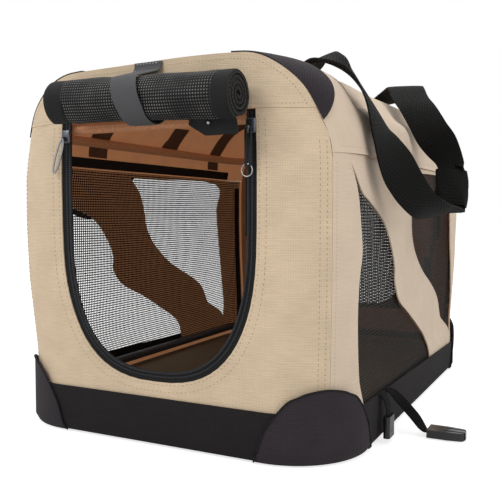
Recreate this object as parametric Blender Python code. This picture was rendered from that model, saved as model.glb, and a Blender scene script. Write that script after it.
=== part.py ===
"""Soft-sided folding pet carrier: cloth walls on a folding steel tube frame. Metres, +Z up, front towards -Y."""

import math

import bmesh
import bpy
from mathutils import Vector

# Overall size, over the corner patches
WIDTH = 0.346
LENGTH = 0.500
HEIGHT = 0.332

# Cloths and clearances
GAP = 0.0003
PATCH_CLOTH = 0.0012
BAND_CLOTH = 0.0022
WALL_CLOTH = 0.0020
MESH_CLOTH = 0.0010
ROUND_STEPS = 7

# Base tub: the bottom cloth and the band round the foot of the walls
PLAN_RADIUS = 0.070
BAND_HEIGHT = 0.040
PATCH_EDGE = [(0.0510, 0.010), (0.0470, 0.026), (0.0400, 0.040), (0.0310, 0.052), (0.0235, 0.056),
              (0.0150, 0.0595)]
PATCH_HEIGHT = 0.0615
PATCH_SPREAD = 0.054
BOARD_THICKNESS = 0.003
MAT_THICKNESS = 0.014
MAT_CROWN = 0.004
MAT_EDGE = 0.010

# Walls and roof
SHOULDER_RADIUS = 0.070
FACE_BEND_WIDTH = 0.066
FACE_INSET = 0.016
SIDE_SEAM_DROP = 0.0805
YOKE_SEAM_DROP = 0.0455
ROOF_PATCH_REACH = (0.0540, 0.0360, 0.0440)
ROOF_PATCH_INSET = (0.0480, 0.0060, 0.0225)

# Door opening, zip and rolled door
DOOR_HALF_WIDTH = 0.0985
DOOR_FOOT_Z = 0.0555
DOOR_BEND_HEIGHT = 0.1345
DOOR_BEND_POWER = 2.6
DOOR_BEND_STEPS = 10
ZIP_TAPE_SHOWN = 0.009
ZIP_TAPE_SEWN = 0.006
ZIP_TAPE_THICKNESS = 0.0012
ROLL_RADIUS = 0.0185
ROLL_LAYER = 0.0018
ROLL_LEFT_END = -0.083
ROLL_RIGHT_END = 0.0945
ROLL_DROP = 0.0325
ROLL_STRAP_WIDTH = 0.026
ROLL_STRAP_THICKNESS = 0.0012
SLIDER_SIZE_X = 0.009
SLIDER_SIZE_Y = 0.0038
SLIDER_SIZE_Z = 0.012
SLIDER_DROP = 0.0135
LUG_WIDTH = 0.002
LUG_HALF_HEIGHT = 0.002
PULL_LENGTH = 0.034
PULL_WIDTH = 0.006
PULL_THICKNESS = 0.0014
PULL_EYE_RADIUS = 0.0011

# Windows, as (distance along Y, height Z): each one's wavy edge from its top down, then its plain edge back up
FRONT_WINDOW_WAVE = [(-0.207, 0.244), (-0.199, 0.233), (-0.187, 0.219), (-0.169, 0.213), (-0.145, 0.205),
                     (-0.123, 0.196), (-0.107, 0.184), (-0.092, 0.166), (-0.084, 0.150), (-0.084, 0.135),
                     (-0.066, 0.116), (-0.029, 0.100), (0.010, 0.081), (0.041, 0.065), (0.058, 0.052),
                     (0.064, 0.0405)]
FRONT_WINDOW_EDGE = [(-0.184, 0.0405), (-0.189, 0.063), (-0.192, 0.095), (-0.193, 0.125), (-0.191, 0.150),
                     (-0.1865, 0.170), (-0.190, 0.190), (-0.195, 0.217), (-0.201, 0.232)]
REAR_WINDOW_WAVE = [(-0.050, 0.2435), (-0.031, 0.225), (-0.022, 0.203), (-0.018, 0.184), (-0.007, 0.167),
                    (0.012, 0.151), (0.036, 0.136), (0.068, 0.122), (0.095, 0.110), (0.116, 0.097), (0.126, 0.083),
                    (0.133, 0.073), (0.148, 0.066), (0.170, 0.056), (0.184, 0.046)]
REAR_WINDOW_EDGE = [(0.185, 0.062), (0.182, 0.090), (0.176, 0.128), (0.169, 0.167), (0.164, 0.205),
                    (0.162, 0.2435)]
BACK_WINDOW_HALF_WIDTH = 0.090
BACK_WINDOW_FOOT_Z = 0.070
BACK_WINDOW_TOP_Z = 0.262
BACK_WINDOW_RADIUS = 0.045
MESH_FOOT_Z = 0.028
MESH_OVERLAP = 0.006

# Frame: two bent tube rings, two roof bows and four legs, each with a knuckle halfway
TUBE_RADIUS = 0.005
BOW_RADIUS = 0.004
RING_CLEAR = 0.0034
BOW_FOOT = 0.004
TOP_RING_DROP = 0.0515
PIVOT_RISE = 0.012
TONGUE_THICKNESS = 0.003
TONGUE_HALF_WIDTH = 0.006
TONGUE_CLEAR = 0.0002
LEG_STAND_OFF = 0.0055
LEG_TUBE_START = 0.012
PIN_RADIUS = 0.0025
PIN_HEAD_RADIUS = 0.0045
PIN_HEAD_THICKNESS = 0.0012
TUBE_SIDES = 10

# Carry handles: the right one's legs, from the anchor down to the grip, on a body of HANDLE_BODY. Each step is a
# point, the way that the webbing is wide there, and its half width
HANDLE_BODY = (0.169, 0.3305)
HANDLE_ANCHOR_INSET = 0.099
HANDLE_FRONT_LEG = [
    ((0.0700, -0.105, 0.3322), (0, 1, 0), 0.021), ((0.0820, -0.105, 0.3400), (0, 1, 0), 0.021),
    ((0.0960, -0.118, 0.3450), (0.05, 0.9, 0.3), 0.021), ((0.1110, -0.138, 0.3415), (-0.05, 0.85, 0.3), 0.021),
    ((0.1290, -0.155, 0.3335), (-0.2, 0.85, 0.2), 0.021), ((0.1515, -0.166, 0.3180), (-0.22, 0.9, 0.05), 0.020),
    ((0.1680, -0.170, 0.2945), (-0.1, 1, 0), 0.020), ((0.1770, -0.169, 0.2700), (0.1, 1, 0), 0.020),
    ((0.1830, -0.162, 0.2530), (0.3, 0.9, 0.1), 0.020), ((0.1890, -0.150, 0.2370), (0.5, 0.8, 0.2), 0.019),
    ((0.1950, -0.136, 0.2220), (0.6, 0.65, 0.4), 0.0165), ((0.2010, -0.113, 0.2090), (0.6, 0.45, 0.6), 0.0145),
    ((0.2045, -0.082, 0.2040), (0.8, 0.3, 0.5), 0.0135), ((0.2065, -0.052, 0.2030), (0.9, 0.2, 0.35), 0.0135)]
HANDLE_REAR_LEG = [
    ((0.0700, 0.105, 0.3322), (0, 1, 0), 0.021), ((0.0850, 0.105, 0.3355), (0, 1, 0), 0.021),
    ((0.1040, 0.098, 0.3375), (0.2, 0.95, 0), 0.021), ((0.1230, 0.078, 0.3410), (0.55, 0.8, 0), 0.0205),
    ((0.1395, 0.047, 0.3425), (0.8, 0.6, 0), 0.0190), ((0.1500, 0.018, 0.3370), (0.85, 0.5, 0.05), 0.0190),
    ((0.1610, -0.006, 0.3220), (0.88, 0.45, 0.05), 0.0190), ((0.1720, -0.019, 0.3090), (0.88, 0.45, 0.05), 0.0185),
    ((0.1810, -0.024, 0.2950), (0.88, 0.45, 0), 0.0180), ((0.1880, -0.023, 0.2820), (0.89, 0.45, 0), 0.0175),
    ((0.1950, -0.016, 0.2710), (0.89, 0.45, 0), 0.0170), ((0.2008, -0.009, 0.2600), (0.89, 0.45, 0), 0.0145)]
GRIP_LOW_END = (0.2075, -0.022, 0.2090)
GRIP_HIGH_END = (0.2045, -0.008, 0.2450)
GRIP_LEAD = 0.005
GRIP_WIDE_WAY = (0.89, 0.45, 0.0)
HANDLE_THICKNESS = 0.0024
GRIP_HALF_WIDTH = 0.0160
GRIP_HALF_DEPTH = 0.0065
GRIP_STRAP_THICKNESS = 0.0048

# Closure strap at the foot of the right wall: two tails and their buckle halves, on a tub of half width TAIL_BODY
TAIL_BODY = 0.1715
LONG_TAIL = [(0.1722, -0.1280, 0.0415), (0.1765, -0.1265, 0.0405), (0.1820, -0.1230, 0.0345),
             (0.1890, -0.1180, 0.0250), (0.1960, -0.1140, 0.0155), (0.2010, -0.1120, 0.0080),
             (0.2045, -0.1118, 0.0044), (0.2070, -0.1118, 0.0040)]
SHORT_TAIL = [(0.1722, -0.1430, 0.0415), (0.1760, -0.1435, 0.0385), (0.1785, -0.1440, 0.0310),
              (0.1795, -0.1440, 0.0235)]
LONG_TAIL_HALF_WIDTH = 0.0045
SHORT_TAIL_HALF_WIDTH = 0.006
TAIL_THICKNESS = 0.0014
PRONG_HALF_SIZE = (0.0165, 0.0095, 0.0036)
SOCKET_HALF_SIZE = (0.0030, 0.0090, 0.0095)

# Sizes worked out from the ones above
TUB_HALF_W = WIDTH / 2 - PATCH_CLOTH - GAP
TUB_HALF_L = LENGTH / 2 - PATCH_CLOTH - GAP
TUB_RADIUS = PLAN_RADIUS - PATCH_CLOTH - GAP
BODY_HALF_W = TUB_HALF_W - BAND_CLOTH - GAP
BODY_HALF_L = TUB_HALF_L - BAND_CLOTH - GAP
BODY_RADIUS = TUB_RADIUS - BAND_CLOTH - GAP
ROOF_Z = HEIGHT - PATCH_CLOTH - GAP
WALL_FOOT_Z = BAND_CLOTH + GAP
BOARD_Z = WALL_FOOT_Z + BOARD_THICKNESS
MAT_Z = BOARD_Z + GAP
MAT_TOP_Z = MAT_Z + MAT_THICKNESS
FACE_HALF_WIDTH = BODY_HALF_W - FACE_INSET
SIDE_SEAM_Z = ROOF_Z - SIDE_SEAM_DROP
YOKE_SEAM_Z = ROOF_Z - YOKE_SEAM_DROP
BASE_RING_Z = MAT_TOP_Z + MAT_CROWN + GAP + TUBE_RADIUS
TOP_RING_Z = ROOF_Z - TOP_RING_DROP
RING_INSET = WALL_CLOTH + RING_CLEAR + TUBE_RADIUS
LOW_PIVOT_Z = BASE_RING_Z + PIVOT_RISE
HIGH_PIVOT_Z = TOP_RING_Z - PIVOT_RISE
KNUCKLE_Z = (LOW_PIVOT_Z + HIGH_PIVOT_Z) / 2
RING_BEND = BODY_RADIUS - RING_INSET
BEND_SHARE = math.cos(math.radians(45))
POST_X = BODY_HALF_W - BODY_RADIUS + RING_BEND * BEND_SHARE - LEG_STAND_OFF
POST_Y = BODY_HALF_L - BODY_RADIUS + RING_BEND * BEND_SHARE
HANDLE_AXIS_X = BODY_HALF_W - HANDLE_ANCHOR_INSET
ROLL_Z = ROOF_Z - ROLL_DROP
SLIDER_Z = YOKE_SEAM_Z - SLIDER_DROP
ROLL_OUTER = ROLL_RADIUS + ROLL_LAYER
ROLL_Y = -(BODY_HALF_L + GAP + ROLL_STRAP_THICKNESS + GAP + ROLL_OUTER)
FAR = 0.08

TAN = ("tan_cloth", (0.66, 0.52, 0.36), 0.85, 0.0)
DARK = ("dark_cloth", (0.040, 0.032, 0.042), 0.80, 0.0)
MESH = ("black_mesh", (0.012, 0.012, 0.013), 0.75, 0.0)
WEBBING = ("black_webbing", (0.010, 0.010, 0.011), 0.70, 0.0)
STRAP = ("grey_strap", (0.045, 0.045, 0.048), 0.80, 0.0)
FLEECE = ("floor_mat_cloth", (0.30, 0.25, 0.17), 0.95, 0.0)
BOARD = ("board", (0.05, 0.05, 0.05), 0.80, 0.0)
STEEL = ("painted_tube", (0.10, 0.10, 0.105), 0.40, 0.6)
PIN_STEEL = ("pin_steel", (0.55, 0.55, 0.56), 0.35, 1.0)
PLASTIC = ("black_plastic", (0.010, 0.010, 0.010), 0.40, 0.0)
ZIP_METAL = ("zip_metal", (0.08, 0.08, 0.08), 0.35, 0.9)


def finish_of(look):
    """The Principled material with this name, colour, roughness and metallic value."""
    name, colour, roughness, metallic = look
    material = bpy.data.materials.get(name)
    if material is None:
        material = bpy.data.materials.new(name)
        material.use_nodes = True
        shader = material.node_tree.nodes["Principled BSDF"]
        shader.inputs["Base Color"].default_value = (*colour, 1.0)
        shader.inputs["Roughness"].default_value = roughness
        shader.inputs["Metallic"].default_value = metallic
    return material


def object_of(name, bm, look=None):
    """Make the mesh an object: a visible piece with its finish, or a hidden cutter without one."""
    bmesh.ops.recalc_face_normals(bm, faces=bm.faces)
    mesh = bpy.data.meshes.new(name)
    bm.to_mesh(mesh)
    bm.free()
    obj = bpy.data.objects.new(name, mesh)
    bpy.context.scene.collection.objects.link(obj)
    if look is None:
        obj.hide_render = True
        obj.display_type = "WIRE"
    else:
        mesh.materials.append(finish_of(look))
    return obj


def cut(obj, tool, operation="DIFFERENCE"):
    """Add a Boolean of the tool to the object."""
    modifier = obj.modifiers.new(operation.lower() + "_" + tool.name, "BOOLEAN")
    modifier.operation = operation
    modifier.solver = "EXACT"
    modifier.object = tool
    return obj


def hinge_on(obj, point):
    """Put the object's origin on its joint's axis, leaving the shape where it is."""
    shift = Vector(point)
    for vertex in obj.data.vertices:
        vertex.co -= shift
    obj.location = shift
    return obj


def smooth(obj, angle=35):
    """Shade a round piece smooth, with its hard edges kept."""
    obj.data.shade_smooth()
    obj.data.set_sharp_from_angle(angle=math.radians(angle))
    return obj


def arc(centre, radius, start, end, steps=ROUND_STEPS):
    """Points on an arc, with both ends, angles in degrees."""
    turn = [math.radians(start + (end - start) * i / steps) for i in range(steps + 1)]
    return [(centre[0] + radius * math.cos(a), centre[1] + radius * math.sin(a)) for a in turn]


def plan_outline(half_w, half_l, radius):
    """Rounded rectangle, seen from above."""
    x, y = half_w - radius, half_l - radius
    return (arc((x, -y), radius, -90, 0) + arc((x, y), radius, 0, 90)
            + arc((-x, y), radius, 90, 180) + arc((-x, -y), radius, 180, 270))


def arch_outline(half_w, foot, top, bend_w, bend_h):
    """Flat foot and sides with two rounded top corners, each bend_w wide and bend_h tall, seen from the front."""
    right = [(half_w - bend_w + bend_w * x, top - bend_h + bend_h * z) for x, z in arc((0.0, 0.0), 1.0, 0, 90)]
    return [(-half_w, foot), (half_w, foot)] + right + [(-x, z) for x, z in reversed(right)]


def prism(name, outline, way, low, high, look=None):
    """Extrude an outline along X, Y or Z, from low to high."""
    seat = {"X": lambda p, t: (t, p[0], p[1]), "Y": lambda p, t: (p[0], t, p[1]),
            "Z": lambda p, t: (p[0], p[1], t)}[way]
    bm = bmesh.new()
    near = [bm.verts.new(seat(p, low)) for p in outline]
    far = [bm.verts.new(seat(p, high)) for p in outline]
    bm.faces.new(near)
    bm.faces.new(far)
    count = len(outline)
    for i in range(count):
        j = (i + 1) % count
        bm.faces.new((near[i], near[j], far[j], far[i]))
    return object_of(name, bm, look)


def block(name, low, high, look=None):
    """A plain box between two corners."""
    return prism(name, [(low[0], low[1]), (high[0], low[1]), (high[0], high[1]), (low[0], high[1])],
                 "Z", low[2], high[2], look)


def rod(name, centre, way, radius, low, high, look=None, sides=TUBE_SIDES):
    """A round bar along X, Y or Z through the centre, which is given in the plane across the bar."""
    return prism(name, arc(centre, radius, 0, 360, sides)[:-1], way, low, high, look)


def sweep(name, path, across_ways, sections, look=None, closed=False):
    """Carry a flat section along a path. Each section is (across, out) pairs about its path point."""
    points = [Vector(p) for p in path]
    count = len(points)
    bm = bmesh.new()
    rings = []
    for i, point in enumerate(points):
        before = points[i - 1] if (closed or i > 0) else point
        after = points[(i + 1) % count] if (closed or i < count - 1) else point
        tangent = (after - before).normalized()
        across = Vector(across_ways[i])
        across = (across - tangent * across.dot(tangent)).normalized()
        out = tangent.cross(across)
        rings.append([bm.verts.new(point + across * a + out * b) for a, b in sections[i]])
    side_count = len(sections[0])
    for i in range(count if closed else count - 1):
        here, there = rings[i], rings[(i + 1) % count]
        for k in range(side_count):
            m = (k + 1) % side_count
            bm.faces.new((here[k], here[m], there[m], there[k]))
    if not closed:
        bm.faces.new(rings[0])
        bm.faces.new(rings[-1])
    return object_of(name, bm, look)


def flat_section(half_width, half_thickness):
    """The section of a webbing."""
    return [(-half_width, -half_thickness), (half_width, -half_thickness),
            (half_width, half_thickness), (-half_width, half_thickness)]


def body_form(name, inset, foot, look=None):
    """The carrier's whole body as a solid, drawn in by inset: rounded in plan and over both shoulders."""
    plan = plan_outline(BODY_HALF_W - inset, BODY_HALF_L - inset, BODY_RADIUS - inset)
    obj = prism(name, plan, "Z", foot, ROOF_Z + FAR, look)
    shoulder = SHOULDER_RADIUS - inset
    arch = arch_outline(BODY_HALF_W - inset + GAP / 10, foot - FAR, ROOF_Z - inset, shoulder, shoulder)
    return cut(obj, prism(name + "_arch", arch, "Y", -LENGTH, LENGTH), "INTERSECT")


def cloth(name, inset, thickness, foot, look):
    """A cloth that follows the body form, its outer side inset from it."""
    outer = body_form(name, inset, foot, look)
    return cut(outer, body_form(name + "_hollow", inset + thickness, foot - FAR))


def face_block(name, grow, front=True):
    """The space of the front or rear wall, bounded by the seam round its face."""
    top = ROOF_Z - WALL_CLOTH - GAP
    bend_h = top - SIDE_SEAM_Z
    outline = arch_outline(FACE_HALF_WIDTH + grow, -FAR, top + grow, FACE_BEND_WIDTH + grow, bend_h + grow)
    low, high = (-LENGTH, -LENGTH / 4) if front else (LENGTH / 4, LENGTH)
    return prism(name, outline, "Y", low, high)


def level_block(name, low, high):
    """All that lies between two heights."""
    return block(name, (-WIDTH, -LENGTH, low), (WIDTH, LENGTH, high))


def door_outline(grow, top):
    """The door opening: straight sides that bend in slowly towards a widely rounded foot."""
    half, foot, bend = DOOR_HALF_WIDTH + grow, DOOR_FOOT_Z - grow, DOOR_BEND_HEIGHT + grow
    share = 2 / DOOR_BEND_POWER
    turns = arc((0.0, 0.0), 1.0, 0, 90, DOOR_BEND_STEPS)[:-1]
    right = [(half * c ** share, foot + bend * (1 - s ** share)) for c, s in turns]
    return [(half, top), (-half, top)] + [(-x, z) for x, z in right] + [(0.0, foot)] + right[::-1]


def back_window_outline(grow):
    """The rear window: a rectangle with round corners."""
    half = BACK_WINDOW_HALF_WIDTH + grow
    middle = (BACK_WINDOW_FOOT_Z + BACK_WINDOW_TOP_Z) / 2
    tall = (BACK_WINDOW_TOP_Z - BACK_WINDOW_FOOT_Z) / 2 + grow
    return [(x, z + middle) for x, z in plan_outline(half, tall, BACK_WINDOW_RADIUS + grow)]


def make_base():
    """The tub with its band, the corner patches, the floor board and the mat."""
    tub = prism("base_tub", plan_outline(TUB_HALF_W, TUB_HALF_L, TUB_RADIUS), "Z", 0.0, BAND_HEIGHT, DARK)
    inner = plan_outline(TUB_HALF_W - BAND_CLOTH, TUB_HALF_L - BAND_CLOTH, TUB_RADIUS - BAND_CLOTH)
    cut(tub, prism("tub_hollow", inner, "Z", BAND_CLOTH, BAND_HEIGHT + FAR))
    smooth(tub)

    edge = WALL_CLOTH + GAP + MESH_CLOTH + GAP
    half_w, half_l, radius = BODY_HALF_W - edge, BODY_HALF_L - edge, BODY_RADIUS - edge
    smooth(prism("floor_board", plan_outline(half_w, half_l, radius), "Z", WALL_FOOT_Z, BOARD_Z, BOARD))
    make_mat(half_w, half_l, radius)

    for end, sy in (("front", -1), ("rear", 1)):
        for side, sx in (("left", -1), ("right", 1)):
            make_corner_patch(f"corner_patch_{end}_{side}", sx, sy)


def make_mat(half_w, half_l, radius):
    """The padded mat: a low crown, with its edges drawn in all round."""
    levels = [(MAT_EDGE / 3, 0.0), (0.0, 0.5), (MAT_EDGE / 3, 0.85), (MAT_EDGE, 1.0)]
    bm = bmesh.new()
    rings = []
    for inset, share in levels:
        outline = plan_outline(half_w - inset, half_l - inset, radius - inset)
        rings.append([bm.verts.new((x, y, MAT_Z + MAT_THICKNESS * share)) for x, y in outline])
    crowns = [(0.80, 0.55), (0.55, 0.85), (0.25, 1.0)]
    for scale, share in crowns:
        outline = plan_outline(half_w - MAT_EDGE, half_l - MAT_EDGE, radius - MAT_EDGE)
        rings.append([bm.verts.new((x * scale, y * scale, MAT_TOP_Z + MAT_CROWN * share)) for x, y in outline])
    count = len(rings[0])
    for here, there in zip(rings, rings[1:]):
        for i in range(count):
            j = (i + 1) % count
            bm.faces.new((here[i], here[j], there[j], there[i]))
    bm.faces.new(rings[0])
    bm.faces.new(rings[-1])
    smooth(object_of("floor_mat", bm, FLEECE), 60)


def make_corner_patch(name, sx, sy):
    """A cloth patch round one foot corner, cut to a tab that narrows upwards, as seen across the corner."""
    patch = prism(name, plan_outline(WIDTH / 2, LENGTH / 2, PLAN_RADIUS), "Z", 0.0, PATCH_HEIGHT + GAP, DARK)
    inner = plan_outline(WIDTH / 2 - PATCH_CLOTH, LENGTH / 2 - PATCH_CLOTH, PLAN_RADIUS - PATCH_CLOTH)
    cut(patch, prism(name + "_hollow", inner, "Z", -FAR, PATCH_HEIGHT + FAR))
    right = [(PATCH_SPREAD, -FAR / 2), (PATCH_SPREAD, 0.0)] + PATCH_EDGE
    tab = right + [(0.0, PATCH_HEIGHT)] + [(-s, z) for s, z in reversed(right)]
    bm = bmesh.new()
    middle = Vector((sx * (WIDTH / 2 - PLAN_RADIUS), sy * (LENGTH / 2 - PLAN_RADIUS), 0.0))
    out = Vector((sx, sy, 0.0)).normalized()
    along = Vector((-sy, sx, 0.0)).normalized()
    near = [bm.verts.new(middle + along * s + Vector((0, 0, z))) for s, z in tab]
    far = [bm.verts.new(middle + along * s + out * 2 * FAR + Vector((0, 0, z))) for s, z in tab]
    bm.faces.new(near)
    bm.faces.new(far)
    for i in range(len(tab)):
        j = (i + 1) % len(tab)
        bm.faces.new((near[i], near[j], far[j], far[i]))
    smooth(cut(patch, object_of(name + "_tab", bm), "INTERSECT"))


def make_walls():
    """The four cloth walls, the roof and the yoke, cut from one sewn form along its seams."""
    panel = cloth("front_panel", 0.0, WALL_CLOTH, WALL_FOOT_Z, TAN)
    cut(panel, face_block("front_face", 0.0), "INTERSECT")
    cut(panel, level_block("above_yoke_seam", YOKE_SEAM_Z - GAP / 2, HEIGHT + FAR))
    cut(panel, prism("door_hole", door_outline(0.0, HEIGHT), "Y", -LENGTH, -LENGTH / 4))
    smooth(panel)

    yoke = cloth("front_yoke", 0.0, WALL_CLOTH, WALL_FOOT_Z, TAN)
    cut(yoke, bpy.data.objects["front_face"], "INTERSECT")
    cut(yoke, level_block("below_yoke_seam", -FAR, YOKE_SEAM_Z + GAP / 2))
    smooth(yoke)

    rear = cloth("rear_panel", 0.0, WALL_CLOTH, WALL_FOOT_Z, TAN)
    cut(rear, face_block("rear_face", 0.0, front=False), "INTERSECT")
    cut(rear, prism("back_window_hole", back_window_outline(0.0), "Y", LENGTH / 4, LENGTH))
    smooth(rear)

    front_wide = face_block("front_face_wide", GAP * 4 / 3)
    rear_wide = face_block("rear_face_wide", GAP * 4 / 3, front=False)
    roof = cloth("roof_panel", 0.0, WALL_CLOTH, WALL_FOOT_Z, TAN)
    cut(roof, front_wide)
    cut(roof, rear_wide)
    cut(roof, level_block("below_side_seam", -FAR, SIDE_SEAM_Z + GAP / 2))
    smooth(roof)

    above = level_block("above_side_seam", SIDE_SEAM_Z - GAP / 2, HEIGHT + FAR)
    windows = [prism("front_window_hole", FRONT_WINDOW_WAVE + FRONT_WINDOW_EDGE, "X", -WIDTH, WIDTH),
               prism("rear_window_hole", REAR_WINDOW_WAVE + REAR_WINDOW_EDGE, "X", -WIDTH, WIDTH)]
    mesh_inset = WALL_CLOTH + GAP
    for side, low, high in (("left", 0.0, WIDTH), ("right", -WIDTH, 0.0)):
        other_half = block(side + "_other_half", (low, -LENGTH, -FAR), (high, LENGTH, HEIGHT + FAR))
        wall = cloth(f"side_panel_{side}", 0.0, WALL_CLOTH, WALL_FOOT_Z, TAN)
        for tool in [front_wide, rear_wide, above, other_half] + windows:
            cut(wall, tool)
        smooth(wall)
        mesh = cloth(f"side_mesh_{side}", mesh_inset, MESH_CLOTH, MESH_FOOT_Z, MESH)
        for tool in [front_wide, rear_wide, above, other_half]:
            cut(mesh, tool)
        smooth(mesh)

    rear_mesh = cloth("rear_mesh", mesh_inset, MESH_CLOTH, MESH_FOOT_Z, MESH)
    edge = prism("rear_mesh_edge", back_window_outline(MESH_OVERLAP), "Y", LENGTH / 4, LENGTH)
    cut(rear_mesh, edge, "INTERSECT")

    for end, front, wide in (("front", True, front_wide), ("rear", False, rear_wide)):
        for side, sx in (("left", -1), ("right", 1)):
            make_roof_patch(f"roof_patch_{end}_{side}", sx, -1 if front else 1, wide)


def make_roof_patch(name, sx, sy, face):
    """A crescent of dark cloth over one top corner, outside the roof and behind the seam of the face."""
    patch = cloth(name, -PATCH_CLOTH - GAP, PATCH_CLOTH, ROOF_Z / 2, DARK)
    cut(patch, face)
    bm = bmesh.new()
    bmesh.ops.create_uvsphere(bm, u_segments=28, v_segments=20, radius=1.0)
    inset_x, inset_y, inset_z = ROOF_PATCH_INSET
    middle = Vector((sx * (BODY_HALF_W - inset_x), sy * (BODY_HALF_L - inset_y), ROOF_Z - inset_z))
    for vertex in bm.verts:
        vertex.co = middle + vertex.co * Vector(ROOF_PATCH_REACH)
    smooth(cut(patch, object_of(name + "_reach", bm), "INTERSECT"))


def make_door():
    """The zip tape round the opening, the rolled door, its strap, and the two zip sliders with their pulls."""
    tape = cloth("door_zip_tape", WALL_CLOTH + GAP, ZIP_TAPE_THICKNESS, WALL_FOOT_Z, WEBBING)
    sewn = prism("tape_sewn_edge", door_outline(ZIP_TAPE_SEWN, YOKE_SEAM_Z - GAP), "Y", -LENGTH, -LENGTH / 4)
    cut(tape, sewn, "INTERSECT")
    cut(tape, prism("tape_free_edge", door_outline(-ZIP_TAPE_SHOWN, HEIGHT), "Y", -LENGTH, -LENGTH / 4))
    smooth(tape)

    lip_angle, steps = 250, 28
    outline = []
    for i in range(steps + 1):
        turn = math.radians(lip_angle + 360 * i / steps)
        radius = ROLL_RADIUS + ROLL_LAYER * i / steps
        outline.append((ROLL_Y + radius * math.cos(turn), ROLL_Z + radius * math.sin(turn)))
    smooth(prism("door_roll", outline, "X", ROLL_LEFT_END, ROLL_RIGHT_END, MESH))

    bore = ROLL_OUTER + GAP
    half = ROLL_STRAP_WIDTH / 2
    strap = rod("roll_strap", (ROLL_Y, ROLL_Z), "X", bore + ROLL_STRAP_THICKNESS, -half, half, STRAP, 28)
    face_y = -(BODY_HALF_L + GAP)
    tab = block("roll_strap_tab", (-half, face_y - ROLL_STRAP_THICKNESS, ROLL_Z), (half, face_y, ROOF_Z - GAP))
    cut(strap, tab, "UNION")
    cut(strap, rod("roll_strap_bore", (ROLL_Y, ROLL_Z), "X", bore, -WIDTH, WIDTH, sides=28))
    smooth(strap)

    size_x, size_y, size_z = SLIDER_SIZE_X, SLIDER_SIZE_Y, SLIDER_SIZE_Z
    tape_front = -(BODY_HALF_L - WALL_CLOTH - GAP)
    slider_back = tape_front - GAP
    slider_front = slider_back - size_y
    pull_y = -(LENGTH / 2 + GAP + PULL_THICKNESS)
    pivot_z = SLIDER_Z - size_z / 4
    for side, sx in (("left", -1), ("right", 1)):
        x = sx * (DOOR_HALF_WIDTH - ZIP_TAPE_SHOWN / 2)
        slider = block(f"zip_slider_{side}", (x - size_x / 2, slider_front, SLIDER_Z - size_z / 2),
                       (x + size_x / 2, slider_back, SLIDER_Z + size_z / 2), ZIP_METAL)
        lug_half = LUG_WIDTH / 2
        lug = block(f"slider_lug_{side}", (x - lug_half, pull_y - PULL_THICKNESS, pivot_z - LUG_HALF_HEIGHT),
                    (x + lug_half, slider_front + GAP, pivot_z + LUG_HALF_HEIGHT))
        cut(slider, lug, "UNION")
        eye = rod(f"slider_eye_{side}", (pull_y, pivot_z), "X", PULL_EYE_RADIUS + GAP, x - FAR, x + FAR)
        cut(slider, eye)
        pull = block(f"zip_pull_{side}", (x - PULL_WIDTH / 2, pull_y - PULL_THICKNESS / 2, pivot_z - PULL_LENGTH),
                     (x + PULL_WIDTH / 2, pull_y + PULL_THICKNESS / 2, pivot_z), PLASTIC)
        slot = block(f"pull_slot_{side}", (x - lug_half - GAP, pull_y - FAR, pivot_z - LUG_HALF_HEIGHT - 3 * GAP),
                     (x + lug_half + GAP, pull_y + FAR, pivot_z + FAR))
        cut(pull, slot)
        bar = rod(f"pull_bar_{side}", (pull_y, pivot_z), "X", PULL_EYE_RADIUS, x - PULL_WIDTH / 2,
                  x + PULL_WIDTH / 2)
        cut(pull, bar, "UNION")
        hinge_on(pull, (x, pull_y, pivot_z))


def ring_frame(name, height, ear_way):
    """One bent tube ring with an ear and a pivot stud at each corner. ear_way is 1 for ears that stand up."""
    plan = plan_outline(BODY_HALF_W - RING_INSET, BODY_HALF_L - RING_INSET, RING_BEND)
    section = arc((0.0, 0.0), TUBE_RADIUS, 0, 360, TUBE_SIDES)[:-1]
    path = [(x, y, height) for x, y in plan]
    ring = sweep(name, path, [(0, 0, 1)] * len(path), [section] * len(path), STEEL, closed=True)
    pivot = height + ear_way * PIVOT_RISE
    for end, sy in (("front", -1), ("rear", 1)):
        for side, sx in (("left", -1), ("right", 1)):
            tag = f"{name}_{end}_{side}"
            y = sy * POST_Y
            inner = POST_X + TONGUE_CLEAR * ear_way
            outer = inner + TONGUE_THICKNESS * ear_way
            ear_low, ear_high = sorted((sx * inner, sx * outer))
            stud_far = POST_X - (TONGUE_CLEAR * 2 + TONGUE_THICKNESS + PIN_HEAD_THICKNESS) * ear_way
            head_near = POST_X - (TONGUE_CLEAR * 2 + TONGUE_THICKNESS) * ear_way
            outline = tongue_outline(y, pivot, height)
            cut(ring, prism(tag + "_ear", outline, "X", ear_low, ear_high), "UNION")
            low, high = sorted((sx * (inner + outer) / 2, sx * stud_far))
            cut(ring, rod(tag + "_stud", (y, pivot), "X", PIN_RADIUS, low, high), "UNION")
            low, high = sorted((sx * head_near, sx * stud_far))
            cut(ring, rod(tag + "_head", (y, pivot), "X", PIN_HEAD_RADIUS, low, high), "UNION")
    return smooth(ring)


def tongue_outline(y, pivot, root):
    """A flat tongue from its root to a round end about the pivot, seen from the side."""
    half = TONGUE_HALF_WIDTH
    if pivot > root:
        return [(y - half, root), (y + half, root)] + arc((y, pivot), half, 0, 180)
    return [(y + half, root), (y - half, root)] + arc((y, pivot), half, 180, 360)


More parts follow.
